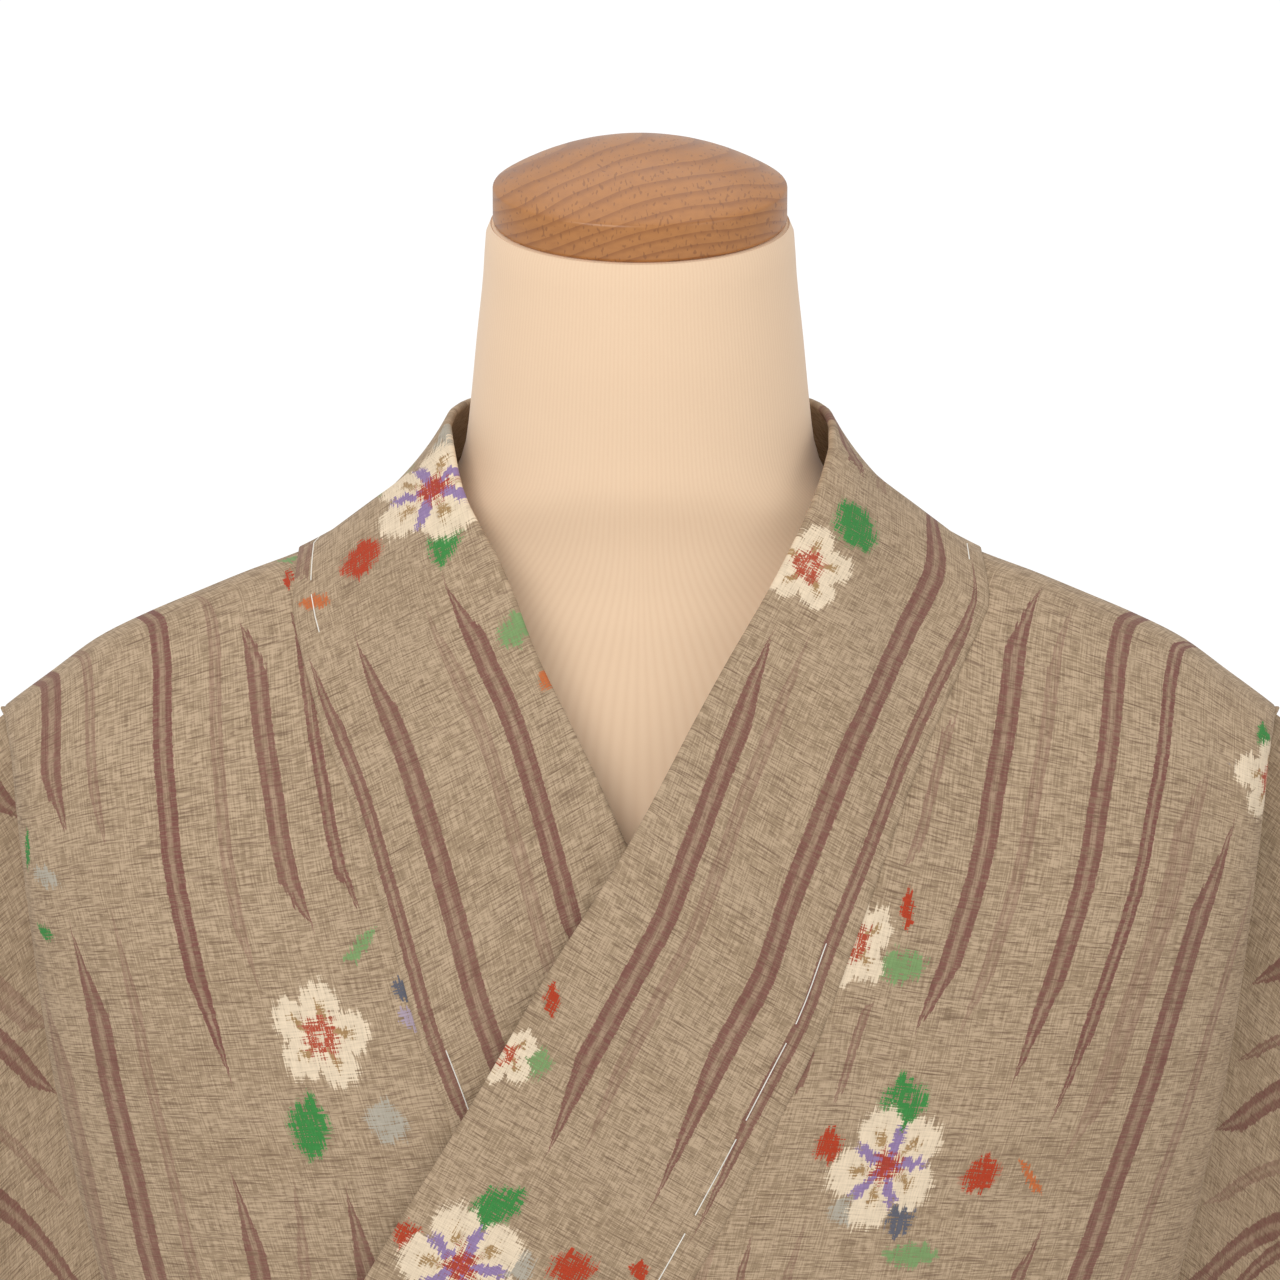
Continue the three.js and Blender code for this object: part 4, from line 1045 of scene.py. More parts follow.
def kasuri_material(settings, name, repeat, marks, feather=0.006):
    """The slubbed ground with its stripes, flowers and leaves, the weave in relief, and painted light and
    shade of the weave.
    """
    material, tree, shader = new_material(name)
    place = node(tree, "ShaderNodeUVMap", uv_map="UVMap").outputs[0]
    across, along = parts(tree, place)[:2]
    first, last = repeat
    again = calc(tree, "WRAP", along, last * MM, first * MM)
    repeated = vector(tree, across, again)

    def shifted(threads, shift, sideways):
        inputs = {"Place": repeated, "Threads": threads, "Shift": shift, "Sideways": sideways}
        return use_group(tree, "thread shift", inputs)["Place"]

    coarse, fine = shifted(1100.0, feather, 0.0006), shifted(1300.0, 0.0045, 0.0018)
    ground = use_group(tree, "slubbed ground", {"Place": place})

    def held_place(kind, where):
        held = NO_MARK
        for number, (centre, code, turn, width, length) in enumerate(marks[kind], 1):
            mark = use_group(tree, "mark place", {
                "Held": held,
                "Place": where,
                "Centre": (centre.x, centre.y, -code * CODE_UNIT),
                "Turn": (0.0, 0.0, turn),
                "Size": (width, length, 1.0),
            })
            held = mark["Held"]
            where = where if number % MARKS_IN_A_RUN else mark["Place"]
        return held

    broken = plus(tree, 0.66, times(tree, step(tree, ground["Weft"], 0.3, 0.6), 0.34))
    uneven = times(tree, minus(tree, ground["Height"], 1.0), 0.9)

    def threads_in(mask, wear=1.0):
        worn = step(tree, plus(tree, mask, times(tree, uneven, wear)), 0.22, 0.7)
        return times(tree, calc(tree, "MINIMUM", worn, times(tree, mask, 5.0)), 0.97)

    paint = tint(
        tree, step(tree, ground["Tone"], 0.36, 0.64), colour(settings, "tan_dark"),
        colour(settings, "tan_light"),
    )
    paint = tint(tree, times(tree, ground["Slub"], 0.6), paint, colour(settings, "slub"))
    stripe = use_group(tree, "woven stripe", {"Mark": held_place("stripes", coarse)})["Mask"]
    paint = tint(tree, times(tree, stripe, broken), paint, colour(settings, "stripe"))
    leaf = use_group(tree, "woven leaf", {"Mark": held_place("leaves", fine)})
    paint = tint(tree, threads_in(leaf["Mask"], 1.9), paint, leaf["Colour"])
    if marks["flowers"]:
        flower = use_group(tree, "woven flower", {
            "Mark": held_place("flowers", fine),
            "Uneven": times(tree, uneven, 0.35),
            "Petal": colour(settings, "cream"),
            "Star": colour(settings, "violet"),
            "Heart": colour(settings, "bud"),
            "Stamen": colour(settings, "mustard"),
        })
        paint = tint(tree, threads_in(flower["Mask"]), paint, flower["Colour"])
    # Painted light and shade of the weave: the colour is made up to a tenth lighter where the weave's
    # height is high and darker where it is low, the same height as the relief.
    thread = span(tree, ground["Height"], 0.6, 1.4, 0.9, 1.1)
    weave_light_and_shade = node(tree, "ShaderNodeVectorMath", {0: paint, "Scale": thread}, operation="SCALE")
    feed_all(tree, shader.inputs, {
        "Base Color": weave_light_and_shade.outputs[0],
        "Roughness": span(tree, ground["Tone"], 0.3, 0.7, 0.92, 0.8),
        "Sheen Weight": 0.06,
        "Sheen Roughness": 0.5,
        "Specular IOR Level": 0.25,
        "Normal": relief(tree, 0.3, 0.0004, ground["Height"]),
    })
    return material


KNIT_STITCH = 0.0012


def jersey_material(settings):
    """Ribbed knit, its ribs running up and down the form, painted darker between the ribs as shade."""
    material, tree, shader = new_material("ribbed jersey")
    place = node(tree, "ShaderNodeUVMap", uv_map="UVMap").outputs[0]
    across, along = parts(tree, place)[:2]
    wave = calc(tree, "SINE", times(tree, across, 2 * math.pi / settings.rib_width))
    rib = calc(tree, "POWER", size_of(tree, plus(tree, times(tree, wave, 0.5), 0.5)), 0.7)
    stitch = calc(tree, "SINE", times(tree, along, 2 * math.pi / KNIT_STITCH))
    cloud = cloudy(tree, place, 60.0, 3.0)
    # Painted shade: the colour darkens between the raised ribs, following the same ribs as the relief; the
    # cloud adds the yarn's own uneven tone.
    tone = plus(tree, times(tree, rib, 0.75), times(tree, cloud, 0.35), clamp=True)
    paint = tint(tree, tone, colour(settings, "jersey_shade_between_ribs"), colour(settings, "jersey_light"))
    feed_all(tree, shader.inputs, {
        "Base Color": paint,
        "Roughness": 0.85,
        "Sheen Weight": 0.25,
        "Normal": relief(tree, 0.12, 0.0003, plus(tree, rib, times(tree, stitch, 0.08))),
    })
    return material


RING_STRETCH = (1.0, 0.35, 1.0)


def beech_material(settings, name, heart, spacing):
    """Varnished beech: growth rings round its heart, drawn out along the grain, and short dark pores."""
    material, tree, shader = new_material(name)
    place = node(tree, "ShaderNodeTexCoord").outputs["Object"]
    away = [-at * share for at, share in zip(heart, RING_STRETCH)]
    middle = stretched(tree, place, Location=away, Scale=RING_STRETCH)
    wander = cloudy(tree, place, 22.0, 1.0)
    out = distance(tree, middle)
    rings = calc(tree, "FRACT", plus(tree, over(tree, out, spacing), times(tree, wander, 1.3)))
    late = times(tree, step(tree, rings, 0.5, 0.97), step(tree, rings, 1.0, 0.97))
    fibres = cloudy(tree, stretched(tree, place, Scale=(260.0, 30.0, 420.0)), 1.0, 2.0)
    short = stretched(tree, place, Rotation=(0, 0, 0.25), Scale=(1100.0, 250.0, 500.0))
    pores = step(tree, cloudy(tree, short, 1.0, 0.0), 0.66, 0.74)
    tone = plus(tree, times(tree, late, 0.75), times(tree, step(tree, fibres, 0.3, 0.75), 0.3), clamp=True)
    paint = tint(tree, tone, colour(settings, "beech_light"), colour(settings, "beech_dark"))
    paint = tint(tree, times(tree, pores, 0.55), paint, colour(settings, "beech_fleck"))
    feed_all(tree, shader.inputs, {
        "Base Color": paint,
        "Roughness": span(tree, fibres, 0.2, 0.8, 0.45, 0.34),
        "Coat Weight": 0.2,
        "Coat Roughness": 0.2,
        "Normal": relief(tree, 0.15, 0.0003, minus(tree, 1.0, pores)),
    })
    return material


SHADED = 0.88


def plain_material(name, paint, roughness, metallic=0.0):
    """A plain finish with a slight cloudiness in its colour and roughness."""
    material, tree, shader = new_material(name)
    place = node(tree, "ShaderNodeTexCoord").outputs["Object"]
    cloud = cloudy(tree, place, 40.0, 4.0)
    darker = tuple(c * SHADED for c in paint[:3]) + (1.0,)
    feed_all(tree, shader.inputs, {
        "Base Color": tint(tree, step(tree, cloud, 0.3, 0.7), darker, paint),
        "Roughness": span(tree, cloud, 0.2, 0.8, roughness * 1.1, roughness * 0.9),
        "Metallic": metallic,
    })
    return material


# Settings that a user would change.
def paint_property(label, text, default):
    return FloatVectorProperty(
        name=label, description=text, subtype="COLOR", size=3, min=0, max=1, default=default,
    )


class KIMONO_PG_cloth(bpy.types.PropertyGroup):
    wall: FloatProperty(
        name="Cloth thickness", description="Thickness of the body, overlap panels and sleeves",
        default=0.0014, min=0.0005, max=0.003, unit="LENGTH",
    )
    collar_wall: FloatProperty(
        name="Collar thickness", description="Thickness of the folded collar", default=0.0034, min=0.001,
        max=0.008, unit="LENGTH",
    )
    tan_light: paint_property("Ground, light", "Lighter thread of the ground", (0.455, 0.334, 0.219))
    tan_dark: paint_property("Ground, dark", "Darker thread of the ground", (0.34, 0.24, 0.148))
    slub: paint_property("Slub", "Thick dark weft threads", (0.145, 0.084, 0.05))
    stripe: paint_property("Stripe", "Dyed stripe", (0.172, 0.062, 0.05))
    cream: paint_property("Cream", "Flower petals", (0.75, 0.61, 0.44))
    violet: paint_property("Violet", "Star inside a flower", (0.22, 0.14, 0.35))
    bud: paint_property("Red", "Buds and flower hearts", (0.4, 0.036, 0.008))
    mustard: paint_property("Mustard", "Stamens and small marks", (0.3, 0.155, 0.035))
    leaf: paint_property("Leaf", "Green leaves", (0.03, 0.22, 0.045))
    pale_leaf: paint_property("Pale leaf", "Pale green leaves", (0.18, 0.3, 0.115))
    slate: paint_property("Slate", "Blue-grey flecks", (0.1, 0.105, 0.135))
    lavender: paint_property("Lavender", "Pale violet flecks", (0.38, 0.3, 0.37))
    orange: paint_property("Orange", "Short orange dashes", (0.5, 0.13, 0.035))
    pale_grey: paint_property("Pale grey", "Pale flecks", (0.4, 0.36, 0.29))


class KIMONO_PG_stitches(bpy.types.PropertyGroup):
    dash: IntProperty(
        name="Stitch length", description="Visible length of a basting stitch, in steps of a millimetre",
        default=33, min=5, max=80,
    )
    gap: IntProperty(
        name="Stitch gap",
        description="Hidden length between two basting stitches, in steps of a millimetre", default=8,
        min=2, max=40,
    )
    thickness: FloatProperty(
        name="Thread radius", description="Radius of the basting thread", default=0.00024, min=0.0001,
        max=0.001, unit="LENGTH",
    )
    paint: paint_property("Thread", "Basting thread", (0.85, 0.81, 0.73))


CAP_WIDTH = round(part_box("form_cap")[1][0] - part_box("form_cap")[0][0], 4)


class KIMONO_PG_form(bpy.types.PropertyGroup):
    cap_width: FloatProperty(
        name="Cap width", description="Width of the turned cap", default=CAP_WIDTH, min=0.05, max=0.2,
        unit="LENGTH",
    )
    cap_rim: FloatProperty(
        name="Cap rim", description="Height of the cap's straight rim", default=0.015, min=0.005, max=0.04,
        unit="LENGTH",
    )
    cap_dome: FloatProperty(
        name="Cap dome", description="Height of the dome over the rim", default=0.017, min=0.005, max=0.04,
        unit="LENGTH",
    )
    rib_width: FloatProperty(
        name="Rib width", description="Width of one rib of the jersey", default=0.0016, min=0.0008,
        max=0.006, unit="LENGTH",
    )
    jersey_light: paint_property("Jersey, light", "Raised ribs", (0.83, 0.605, 0.41))
    # Painted shade between the ribs of the jersey, not a second yarn colour.
    jersey_shade_between_ribs: paint_property("Jersey, dark", "Between the ribs", (0.79, 0.56, 0.37))
    beech_light: paint_property("Beech, light", "Light grain", (0.44, 0.18, 0.048))
    beech_dark: paint_property("Beech, dark", "Dark grain", (0.3, 0.11, 0.028))
    beech_fleck: paint_property("Beech, fleck", "Short dark flecks", (0.2, 0.07, 0.02))
    metal: paint_property("Stand", "Painted pole", (0.72, 0.71, 0.68))


class KIMONO_PG_studio(bpy.types.PropertyGroup):
    floor: paint_property("Floor", "Plain floor", (0.93, 0.93, 0.93))
    key_power: FloatProperty(
        name="Key light", description="Power of the large front light", default=33.0, min=0, max=1000,
        unit="POWER",
    )
    fill_power: FloatProperty(
        name="Fill light", description="Power of the side light and of the top light", default=12.0, min=0,
        max=1000, unit="POWER",
    )
    sky: FloatProperty(
        name="Sky", description="Strength of the surrounding light", default=0.68, min=0, max=5,
    )


class KIMONO_PG_settings(bpy.types.PropertyGroup):
    cloth: PointerProperty(type=KIMONO_PG_cloth, name="Cloth", description="Sizes and dyes of the cloth")
    stitches: PointerProperty(
        type=KIMONO_PG_stitches, name="Basting", description="Basting stitches of the collar",
    )
    form: PointerProperty(
        type=KIMONO_PG_form, name="Dress form", description="Sizes and finishes of the form",
    )
    studio: PointerProperty(type=KIMONO_PG_studio, name="Studio", description="Stage and lights")


def build_woven_groups(settings):
    build_thread_shift()
    build_ground()
    build_mark_place()
    build_stripe()
    build_flower()
    build_leaf(settings)


class KIMONO_OT_body(bpy.types.Operator):
    """Make the two body strips, each from the front hem over the shoulder to the back hem"""

    bl_idname = "kimono.body"
    bl_label = "Body strips"

    def execute(self, context):
        settings = context.scene.kimono.cloth
        build_woven_groups(settings)
        for half in ("left", "right"):
            shares = [i / BODY_COLUMNS for i in range(BODY_COLUMNS + 1)]
            rows = [[panel_point(half, "front", a, below) for a in shares] for below in reversed(ROWS)]
            rows.append([panel_point(half, "front", a, 0.0) for a in shares])
            centre = len(rows) - 1
            rows += [[panel_point(half, "back", a, below) for a in shares] for below in ROWS]
            marks = [[(u, -v) for u, v in row] for row in cut_marks(rows, centre, BODY_CLOTH_WIDTH)]
            name = "body_" + half
            facing = round(MAIN_SHARE * BODY_COLUMNS) + 1
            front, front_marks = ([row[:facing] for row in grid[:centre]] for grid in (rows, marks))
            found = woven_marks(name, place_finder(front, front_marks))
            cloth = kasuri_material(settings, "woven " + name, PATTERNS[name]["repeat"], found)
            if half == "left":
                rows, marks = rows[::-1], marks[::-1]
            piece = cloth_shell(name + "_cloth", rows, marks, settings.wall * TO_MM, cloth)
            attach(piece, "root")
            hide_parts(name)
        return {"FINISHED"}


class KIMONO_OT_overlaps(bpy.types.Operator):
    """Make the two overlap panels beside the fronts, from their pointed tops to the hem"""

    bl_idname = "kimono.overlaps"
    bl_label = "Overlap panels"

    def execute(self, context):
        settings = context.scene.kimono.cloth
        build_woven_groups(settings)
        for half in ("left", "right"):
            heights = [row_height(front_inner(half, below), below) for below in ROWS if below >= TIP_ROW]
            shares = [j / OVERLAP_COLUMNS for j in range(OVERLAP_COLUMNS + 1)]
            rows = []
            for z in heights:
                seam = overlap_seam[half](z) - toward_side(half, SEAM_GAP / 2)
                free = overlap_edge[half](z)
                if z >= COLLAR_END:
                    free = collar_seam[half](z) + toward_side(half, SEAM_GAP / 2)
                start, end = turn_of(seam, z), turn_of(free, z)
                rows.append([lower_front(half, mix(seam, free, c), mix(start, end, c), z) for c in shares])
            tip = rows[0][0].lerp(rows[0][-1], 0.5)
            rows[0] = [tip.lerp(point, 0.3) for point in rows[1]]
            name = "overlap_" + half
            down = lengths([row[0] for row in rows])
            marks = [[(r, down[i]) for r in lengths(row)] for i, row in enumerate(rows)]
            if half == "right":
                rows, marks = rows[::-1], marks[::-1]
            found = woven_marks(name, place_finder(rows, marks))
            cloth = kasuri_material(settings, "woven " + name, PATTERNS[name]["repeat"], found)
            piece = cloth_shell(name + "_cloth", rows, marks, settings.wall * TO_MM, cloth)
            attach(piece, "root")
            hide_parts(name)
        return {"FINISHED"}


def collar_front_row(half, seam_z, shares):
    seam_x = collar_seam[half](seam_z) - toward_side(half, SEAM_GAP / 2)
    fold_z = seam_z + fold_rise(seam_z)
    fold_x = collar_fold[half](fold_z)
    start, end = turn_of(seam_x, seam_z), turn_of(fold_x, fold_z)
    return [
        lower_front(half, mix(seam_x, fold_x, c), mix(start, end, c), mix(seam_z, fold_z, c))
        for c in shares
    ]


fold_x_at, fold_y_at, fold_z_at, bulge_at = (through(COLLAR_BACK, 3, column) for column in (0, 1, 2, 5))


def collar_back_row(half, below, shares):
    seam_x = abs(back_inner(half, below)) - SEAM_GAP
    seam = back_point(seam_x, row_height(seam_x, below) + 1.5 * SEAM_GAP)
    fold = Vector((fold_x_at(seam_x), fold_y_at(seam_x), fold_z_at(seam_x)))
    out = Vector((seam_x, fold.y + 20, 40)).normalized()
    row = []
    for c in shares:
        point = seam.lerp(fold, c) + out * (bulge_at(seam_x) * 4 * c * (1 - c))
        point.x = toward_side(half, point.x)
        row.append(point)
    return row


def collar_rows(shares):
    """Rows across the collar, from its left end round the neck to its right end, and the middle row."""
    heights = {}
    for half in ("left", "right"):
        heights[half] = [
            z for z in (row_height(front_inner(half, b), b) for b in ROWS) if z > COLLAR_END + 2
        ]
    neck = [0.0] + [below for below in ROWS if below <= NECK_ROW]
    left = [collar_front_row("left", z, shares) for z in [COLLAR_END + SEAM_GAP] + heights["left"][::-1]]
    left += [collar_back_row("left", below, shares) for below in neck]
    right = [collar_back_row("right", below, shares) for below in neck[::-1]][1:]
    right += [collar_front_row("right", z, shares) for z in heights["right"] + [COLLAR_END + SEAM_GAP]]
    return left + right, len(left) - 1


class KIMONO_OT_collar(bpy.types.Operator):
    """Make the folded collar band from one front end round the neck to the other"""

    bl_idname = "kimono.collar"
    bl_label = "Collar"

    def execute(self, context):
        settings = context.scene.kimono.cloth
        build_woven_groups(settings)
        rows, middle = collar_rows([i / COLLAR_COLUMNS for i in range(COLLAR_COLUMNS + 1)])
        down = lengths([row[COLLAR_COLUMNS // 2] for row in rows])
        marks = [[(r, down[middle] - down[i]) for r in lengths(row)] for i, row in enumerate(rows)]
        fronts = [i for i, row in enumerate(rows) if row[0].y < CENTRE_Y]
        woven = {"stripes": [], "flowers": [], "leaves": []}
        halves = {
            "collar_left": [i for i in fronts if i < middle],
            "collar_right": [i for i in fronts if i > middle],
        }
        for name, half in halves.items():
            found = woven_marks(name, place_finder([rows[i] for i in half], [marks[i] for i in half]))
            for kind in woven:
                woven[kind] += found[kind]
        cloth = kasuri_material(settings, "woven collar", PATTERNS["collar_left"]["repeat"], woven)
        piece = cloth_shell("collar_cloth", rows, marks, settings.collar_wall * TO_MM, cloth)
        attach(piece, "root")
        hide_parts("collar")
        return {"FINISHED"}


top_slope, fall_lean = through(TOP_SLOPE), through(FALL)
inner_x, inner_z = through(INNER_EDGE, 0, 1), through(INNER_EDGE, 0, 2)


def top_point(w):
    x, z = SLEEVE_START
    for i in range(TOP_STEPS):
        slope = math.radians(top_slope((i + 0.5) * w / TOP_STEPS))
        x += math.cos(slope) * w / TOP_STEPS
        z -= math.sin(slope) * w / TOP_STEPS
    return x, z


def falling_point(start, w, v):
    x, z = start
    for i in range(FALL_STEPS):
        plumb = smooth(0, FALL_LENGTH, (i + 0.5) * v / FALL_STEPS)
        lean = math.radians(mix(fall_lean(w), 89, plumb))
        x -= math.cos(lean) * v / FALL_STEPS
        z -= math.sin(lean) * v / FALL_STEPS
    return x, z


def sleeve_length(w):
    past = max(0.0, w - (SLEEVE_WIDTH - CORNER_ROUND))
    return SLEEVE_DROP - CORNER_ROUND + math.sqrt(max(0.0, CORNER_ROUND**2 - past**2))


def sleeve_point(toward, w, v, face):
    start = top_point(w)
    own = falling_point(start, w, v)
    beside = smooth(0, OWN_FALL, w)
    x = mix(inner_x(v) + start[0] - SLEEVE_START[0], own[0], beside)
    z = mix(inner_z(v) + start[1] - SLEEVE_START[1], own[1], beside)
    fold = sum(height * math.exp(-(((w - place) / width) ** 2)) for place, width, height in SLEEVE_FOLDS)
    fold *= smooth(20, 260, v)
    length = sleeve_length(w)
    armhole = max(LEAST_ROOM, seam_depth(inner_z(v)) - SEAM_ROOM)
    free = mix(armhole, FREE_ROOM, smooth(ARMHOLE + 20, ARMHOLE + 120, v))
    room = mix(free, SLEEVE_SPREAD, smooth(0, OWN_DEPTH, w))
    shut = smooth(SLEEVE_WIDTH - 45, SLEEVE_WIDTH, w) * smooth(CUFF_OPENING, CUFF_OPENING + 40, v)
    room = mix(room, SHUT_ROOM, shut)
    ends = min(1.0, max(0.0, min(v, length - v)) / END_ROUND)
    room *= math.sqrt(max(0.0, 1 - (1 - ends) ** 2))
    wave = ripple(x, 500 * toward + 40 * face, z, 1.3) * smooth(10, 80, v) * smooth(5, 60, w)
    return Vector((toward * x, CENTRE_Y + face * room - fold - wave, z))


class KIMONO_OT_sleeves(bpy.types.Operator):
    """Make the two hanging sleeves, open at the cuff and beside the body"""

    bl_idname = "kimono.sleeves"
    bl_label = "Sleeves"

    def execute(self, context):
        settings = context.scene.kimono.cloth
        build_woven_groups(settings)
        across = [SLEEVE_WIDTH * i / SLEEVE_COLUMNS for i in range(SLEEVE_COLUMNS + 1)]
        shares = [0.5 - 0.5 * math.cos(math.pi * i / SLEEVE_ROWS) for i in range(SLEEVE_ROWS + 1)]
        shares = [mix(s, i / SLEEVE_ROWS, 0.55) for i, s in enumerate(shares)]
        for half, toward in (("left", 1), ("right", -1)):
            rows, marks = [], []
            ring = [(s, -1) for s in shares] + [(s, 1) for s in shares[-2:0:-1]]
            for share, face in ring:
                face = 0 if share in (0.0, 1.0) else face
                rows.append([sleeve_point(toward, w, share * sleeve_length(w), face) for w in across])
                run = share if face < 1 else -share
                marks.append([(w * MM, run * sleeve_length(w) * MM) for w in across])
            if half == "right":
                rows, marks = rows[::-1], marks[::-1]
            name = "sleeve_" + half
            front = slice(1, SLEEVE_ROWS) if half == "left" else slice(
                len(rows) - SLEEVE_ROWS, len(rows) - 1,
            )
            found = woven_marks(name, place_finder(rows[front], marks[front]))
            repeat = PATTERNS[name]["repeat"]
            cloth = kasuri_material(settings, "woven " + name, repeat, found, feather=0.002)
            piece = cloth_shell(name + "_cloth", rows, marks, settings.wall * TO_MM, cloth, wrap=True)
            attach(piece, "root")
            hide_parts(name)
        return {"FINISHED"}


def stitch_tree(settings, material):
    """Geometry nodes that turn a line of one-millimetre steps into dashes of round thread."""
    tree = bpy.data.node_groups.new("basting stitches", "GeometryNodeTree")
    for label, kind, default in (
        ("Geometry", "NodeSocketGeometry", None), ("Dash", "NodeSocketInt", settings.dash),
        ("Gap", "NodeSocketInt", settings.gap), ("Radius", VALUE, settings.thickness),
    ):
        socket = tree.interface.new_socket(name=label, in_out="INPUT", socket_type=kind)
        if default is not None:
            socket.default_value = default
    tree.interface.new_socket(name="Geometry", in_out="OUTPUT", socket_type="NodeSocketGeometry")
    given = node(tree, "NodeGroupInput").outputs
    out = node(tree, "NodeGroupOutput")
    index = node(tree, "GeometryNodeInputIndex").outputs[0]
    period = plus(tree, given["Dash"], given["Gap"])
    along = calc(tree, "MODULO", index, period)
    hidden = calc(tree, "GREATER_THAN", along, minus(tree, given["Dash"], 0.5))
    inputs = {"Geometry": given["Geometry"], "Selection": hidden}
    cut = node(tree, "GeometryNodeDeleteGeometry", inputs, domain="EDGE")
    curve = node(tree, "GeometryNodeMeshToCurve", {0: cut.outputs[0]})
    round_thread = node(
        tree, "GeometryNodeCurvePrimitiveCircle", {"Resolution": 8, "Radius": given["Radius"]},
    )
    inputs = {"Curve": curve.outputs[0], "Profile Curve": round_thread.outputs[0], "Fill Caps": True}
    tube = node(tree, "GeometryNodeCurveToMesh", inputs)
    real = node(tree, "GeometryNodeRealizeInstances", {0: tube.outputs[0]})
    smooth_tube = node(tree, "GeometryNodeSetShadeSmooth", {0: real.outputs[0]})
    inputs = {"Geometry": smooth_tube.outputs[0], "Material": material}
    feed(tree, out.inputs[0], node(tree, "GeometryNodeSetMaterial", inputs).outputs[0])
    return tree


# Millimetres: how far the thread stands off the cloth, and the longest step inside one line.
THREAD_LIFT = 0.1
LONGEST_STEP = 3


def stitch_line(share, height, half, first, last):
    """Points a millimetre apart along the collar, at a share of its width and standing off its face."""
    rows, middle = collar_rows([share - 0.04, share, share + 0.04])
    line = []
    for i in range(1, len(rows) - 1):
        normal = (rows[i + 1][1] - rows[i - 1][1]).cross(rows[i][2] - rows[i][0]).normalized()
        if (i < middle) == (half == "left") and rows[i][1].y < CENTRE_Y:
            line.append(rows[i][1] + normal * height)
    line = line[::-1] if half == "left" else line
    even, carry = [], 0.0
    for a, b in zip(line, line[1:]):
        length = (b - a).length
        while carry + 1.0 <= length:
            carry += 1.0
            even.append(a.lerp(b, carry / length))
        carry -= length
    return [point for point in even if last < point.z < first]


class KIMONO_OT_basting(bpy.types.Operator):
    """Sew the white basting stitches along the collar's seam"""

    bl_idname = "kimono.basting"
    bl_label = "Basting stitches"

    def execute(self, context):
        settings = context.scene.kimono
        thread = plain_material("basting thread", (*settings.stitches.paint, 1.0), 0.8)
        tree = stitch_tree(settings.stitches, thread)
        height = settings.cloth.collar_wall * TO_MM / 2 + THREAD_LIFT
        lines = {
            "basting_ridge": stitch_line(0.1, height, "left", -56, -62),
            "basting_left": stitch_line(0.1, height, "left", -199, -420),
            "basting_neck": stitch_line(0.1, height, "right", -53, -88),
            "basting_right": stitch_line(0.07, height, "right", -240, -271),
        }
        for name, line in lines.items():
            mesh = bpy.data.meshes.new(name + "_line")
            edges = [
                (i, i + 1) for i in range(len(line) - 1) if (line[i + 1] - line[i]).length < LONGEST_STEP
            ]
            mesh.from_pydata([(p.x * MM, p.y * MM, (p.z + NECK_POINT) * MM) for p in line], edges, [])
            path = bpy.data.objects.new(name + "_line", mesh)
            context.scene.collection.objects.link(path)
            modifier = path.modifiers.new("stitches", "NODES")
            modifier.node_group = tree
            ready = path.evaluated_get(context.evaluated_depsgraph_get())
            made = bpy.data.objects.new(name, bpy.data.meshes.new_from_object(ready))
            context.scene.collection.objects.link(made)
            bpy.data.objects.remove(path)
            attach(made, "root")
        return {"FINISHED"}


def tube_faces(rings, sides, downward=False):
    """Quads between rings of points, from the lowest ring up or from the highest down, and both caps."""
    faces = []
    for i in range(rings - 1):
        for k in range(sides):
            m = (k + 1) % sides
            a, b, c, d = i * sides + k, i * sides + m, (i + 1) * sides + m, (i + 1) * sides + k
            faces.append((b, a, d, c) if downward else (a, b, c, d))
    first, last = tuple(range(sides)), tuple((rings - 1) * sides + k for k in range(sides))
    return faces + ([first, last[::-1]] if downward else [first[::-1], last])


def lathe(name, profile, material, sides, middle, lean=0.0):
    """A turned shape from (radius, height) pairs in millimetres, with smooth sides."""
    points = []
    tip = math.radians(lean)
    for radius, height in profile:
        for k in range(sides):
            turn = 2 * math.pi * k / sides
            at = Vector((radius * math.sin(turn), -radius * math.cos(turn), height))
            if lean:
                deep = at.y * math.cos(tip) - at.z * math.sin(tip)
                at = Vector((at.x, deep, at.y * math.sin(tip) + at.z * math.cos(tip)))
            points.append(at + Vector(middle))
    return finish_mesh(name, points, tube_faces(len(profile), sides), material, sharp=40)


form_columns = [through(FORM, 0, column) for column in range(1, 7)]
# Points round the trunk, and the spacing of its rings in millimetres.
TRUNK_SIDES = 160
TRUNK_ROW = 7
# How far the trunk stays inside its solid under the cloth, in millimetres, and the cover's width in metres.
TRUNK_INSET = 1.3
COVER_WIDTH = 0.4
# The cover's hem on the neck: share of the top ring's width, and rise.
COVER_HEM = [(0.86, 0.6), (0.9, 1.9), (0.955, 2.2), (0.99, 1.1)]
HEM_SINK = 1.6


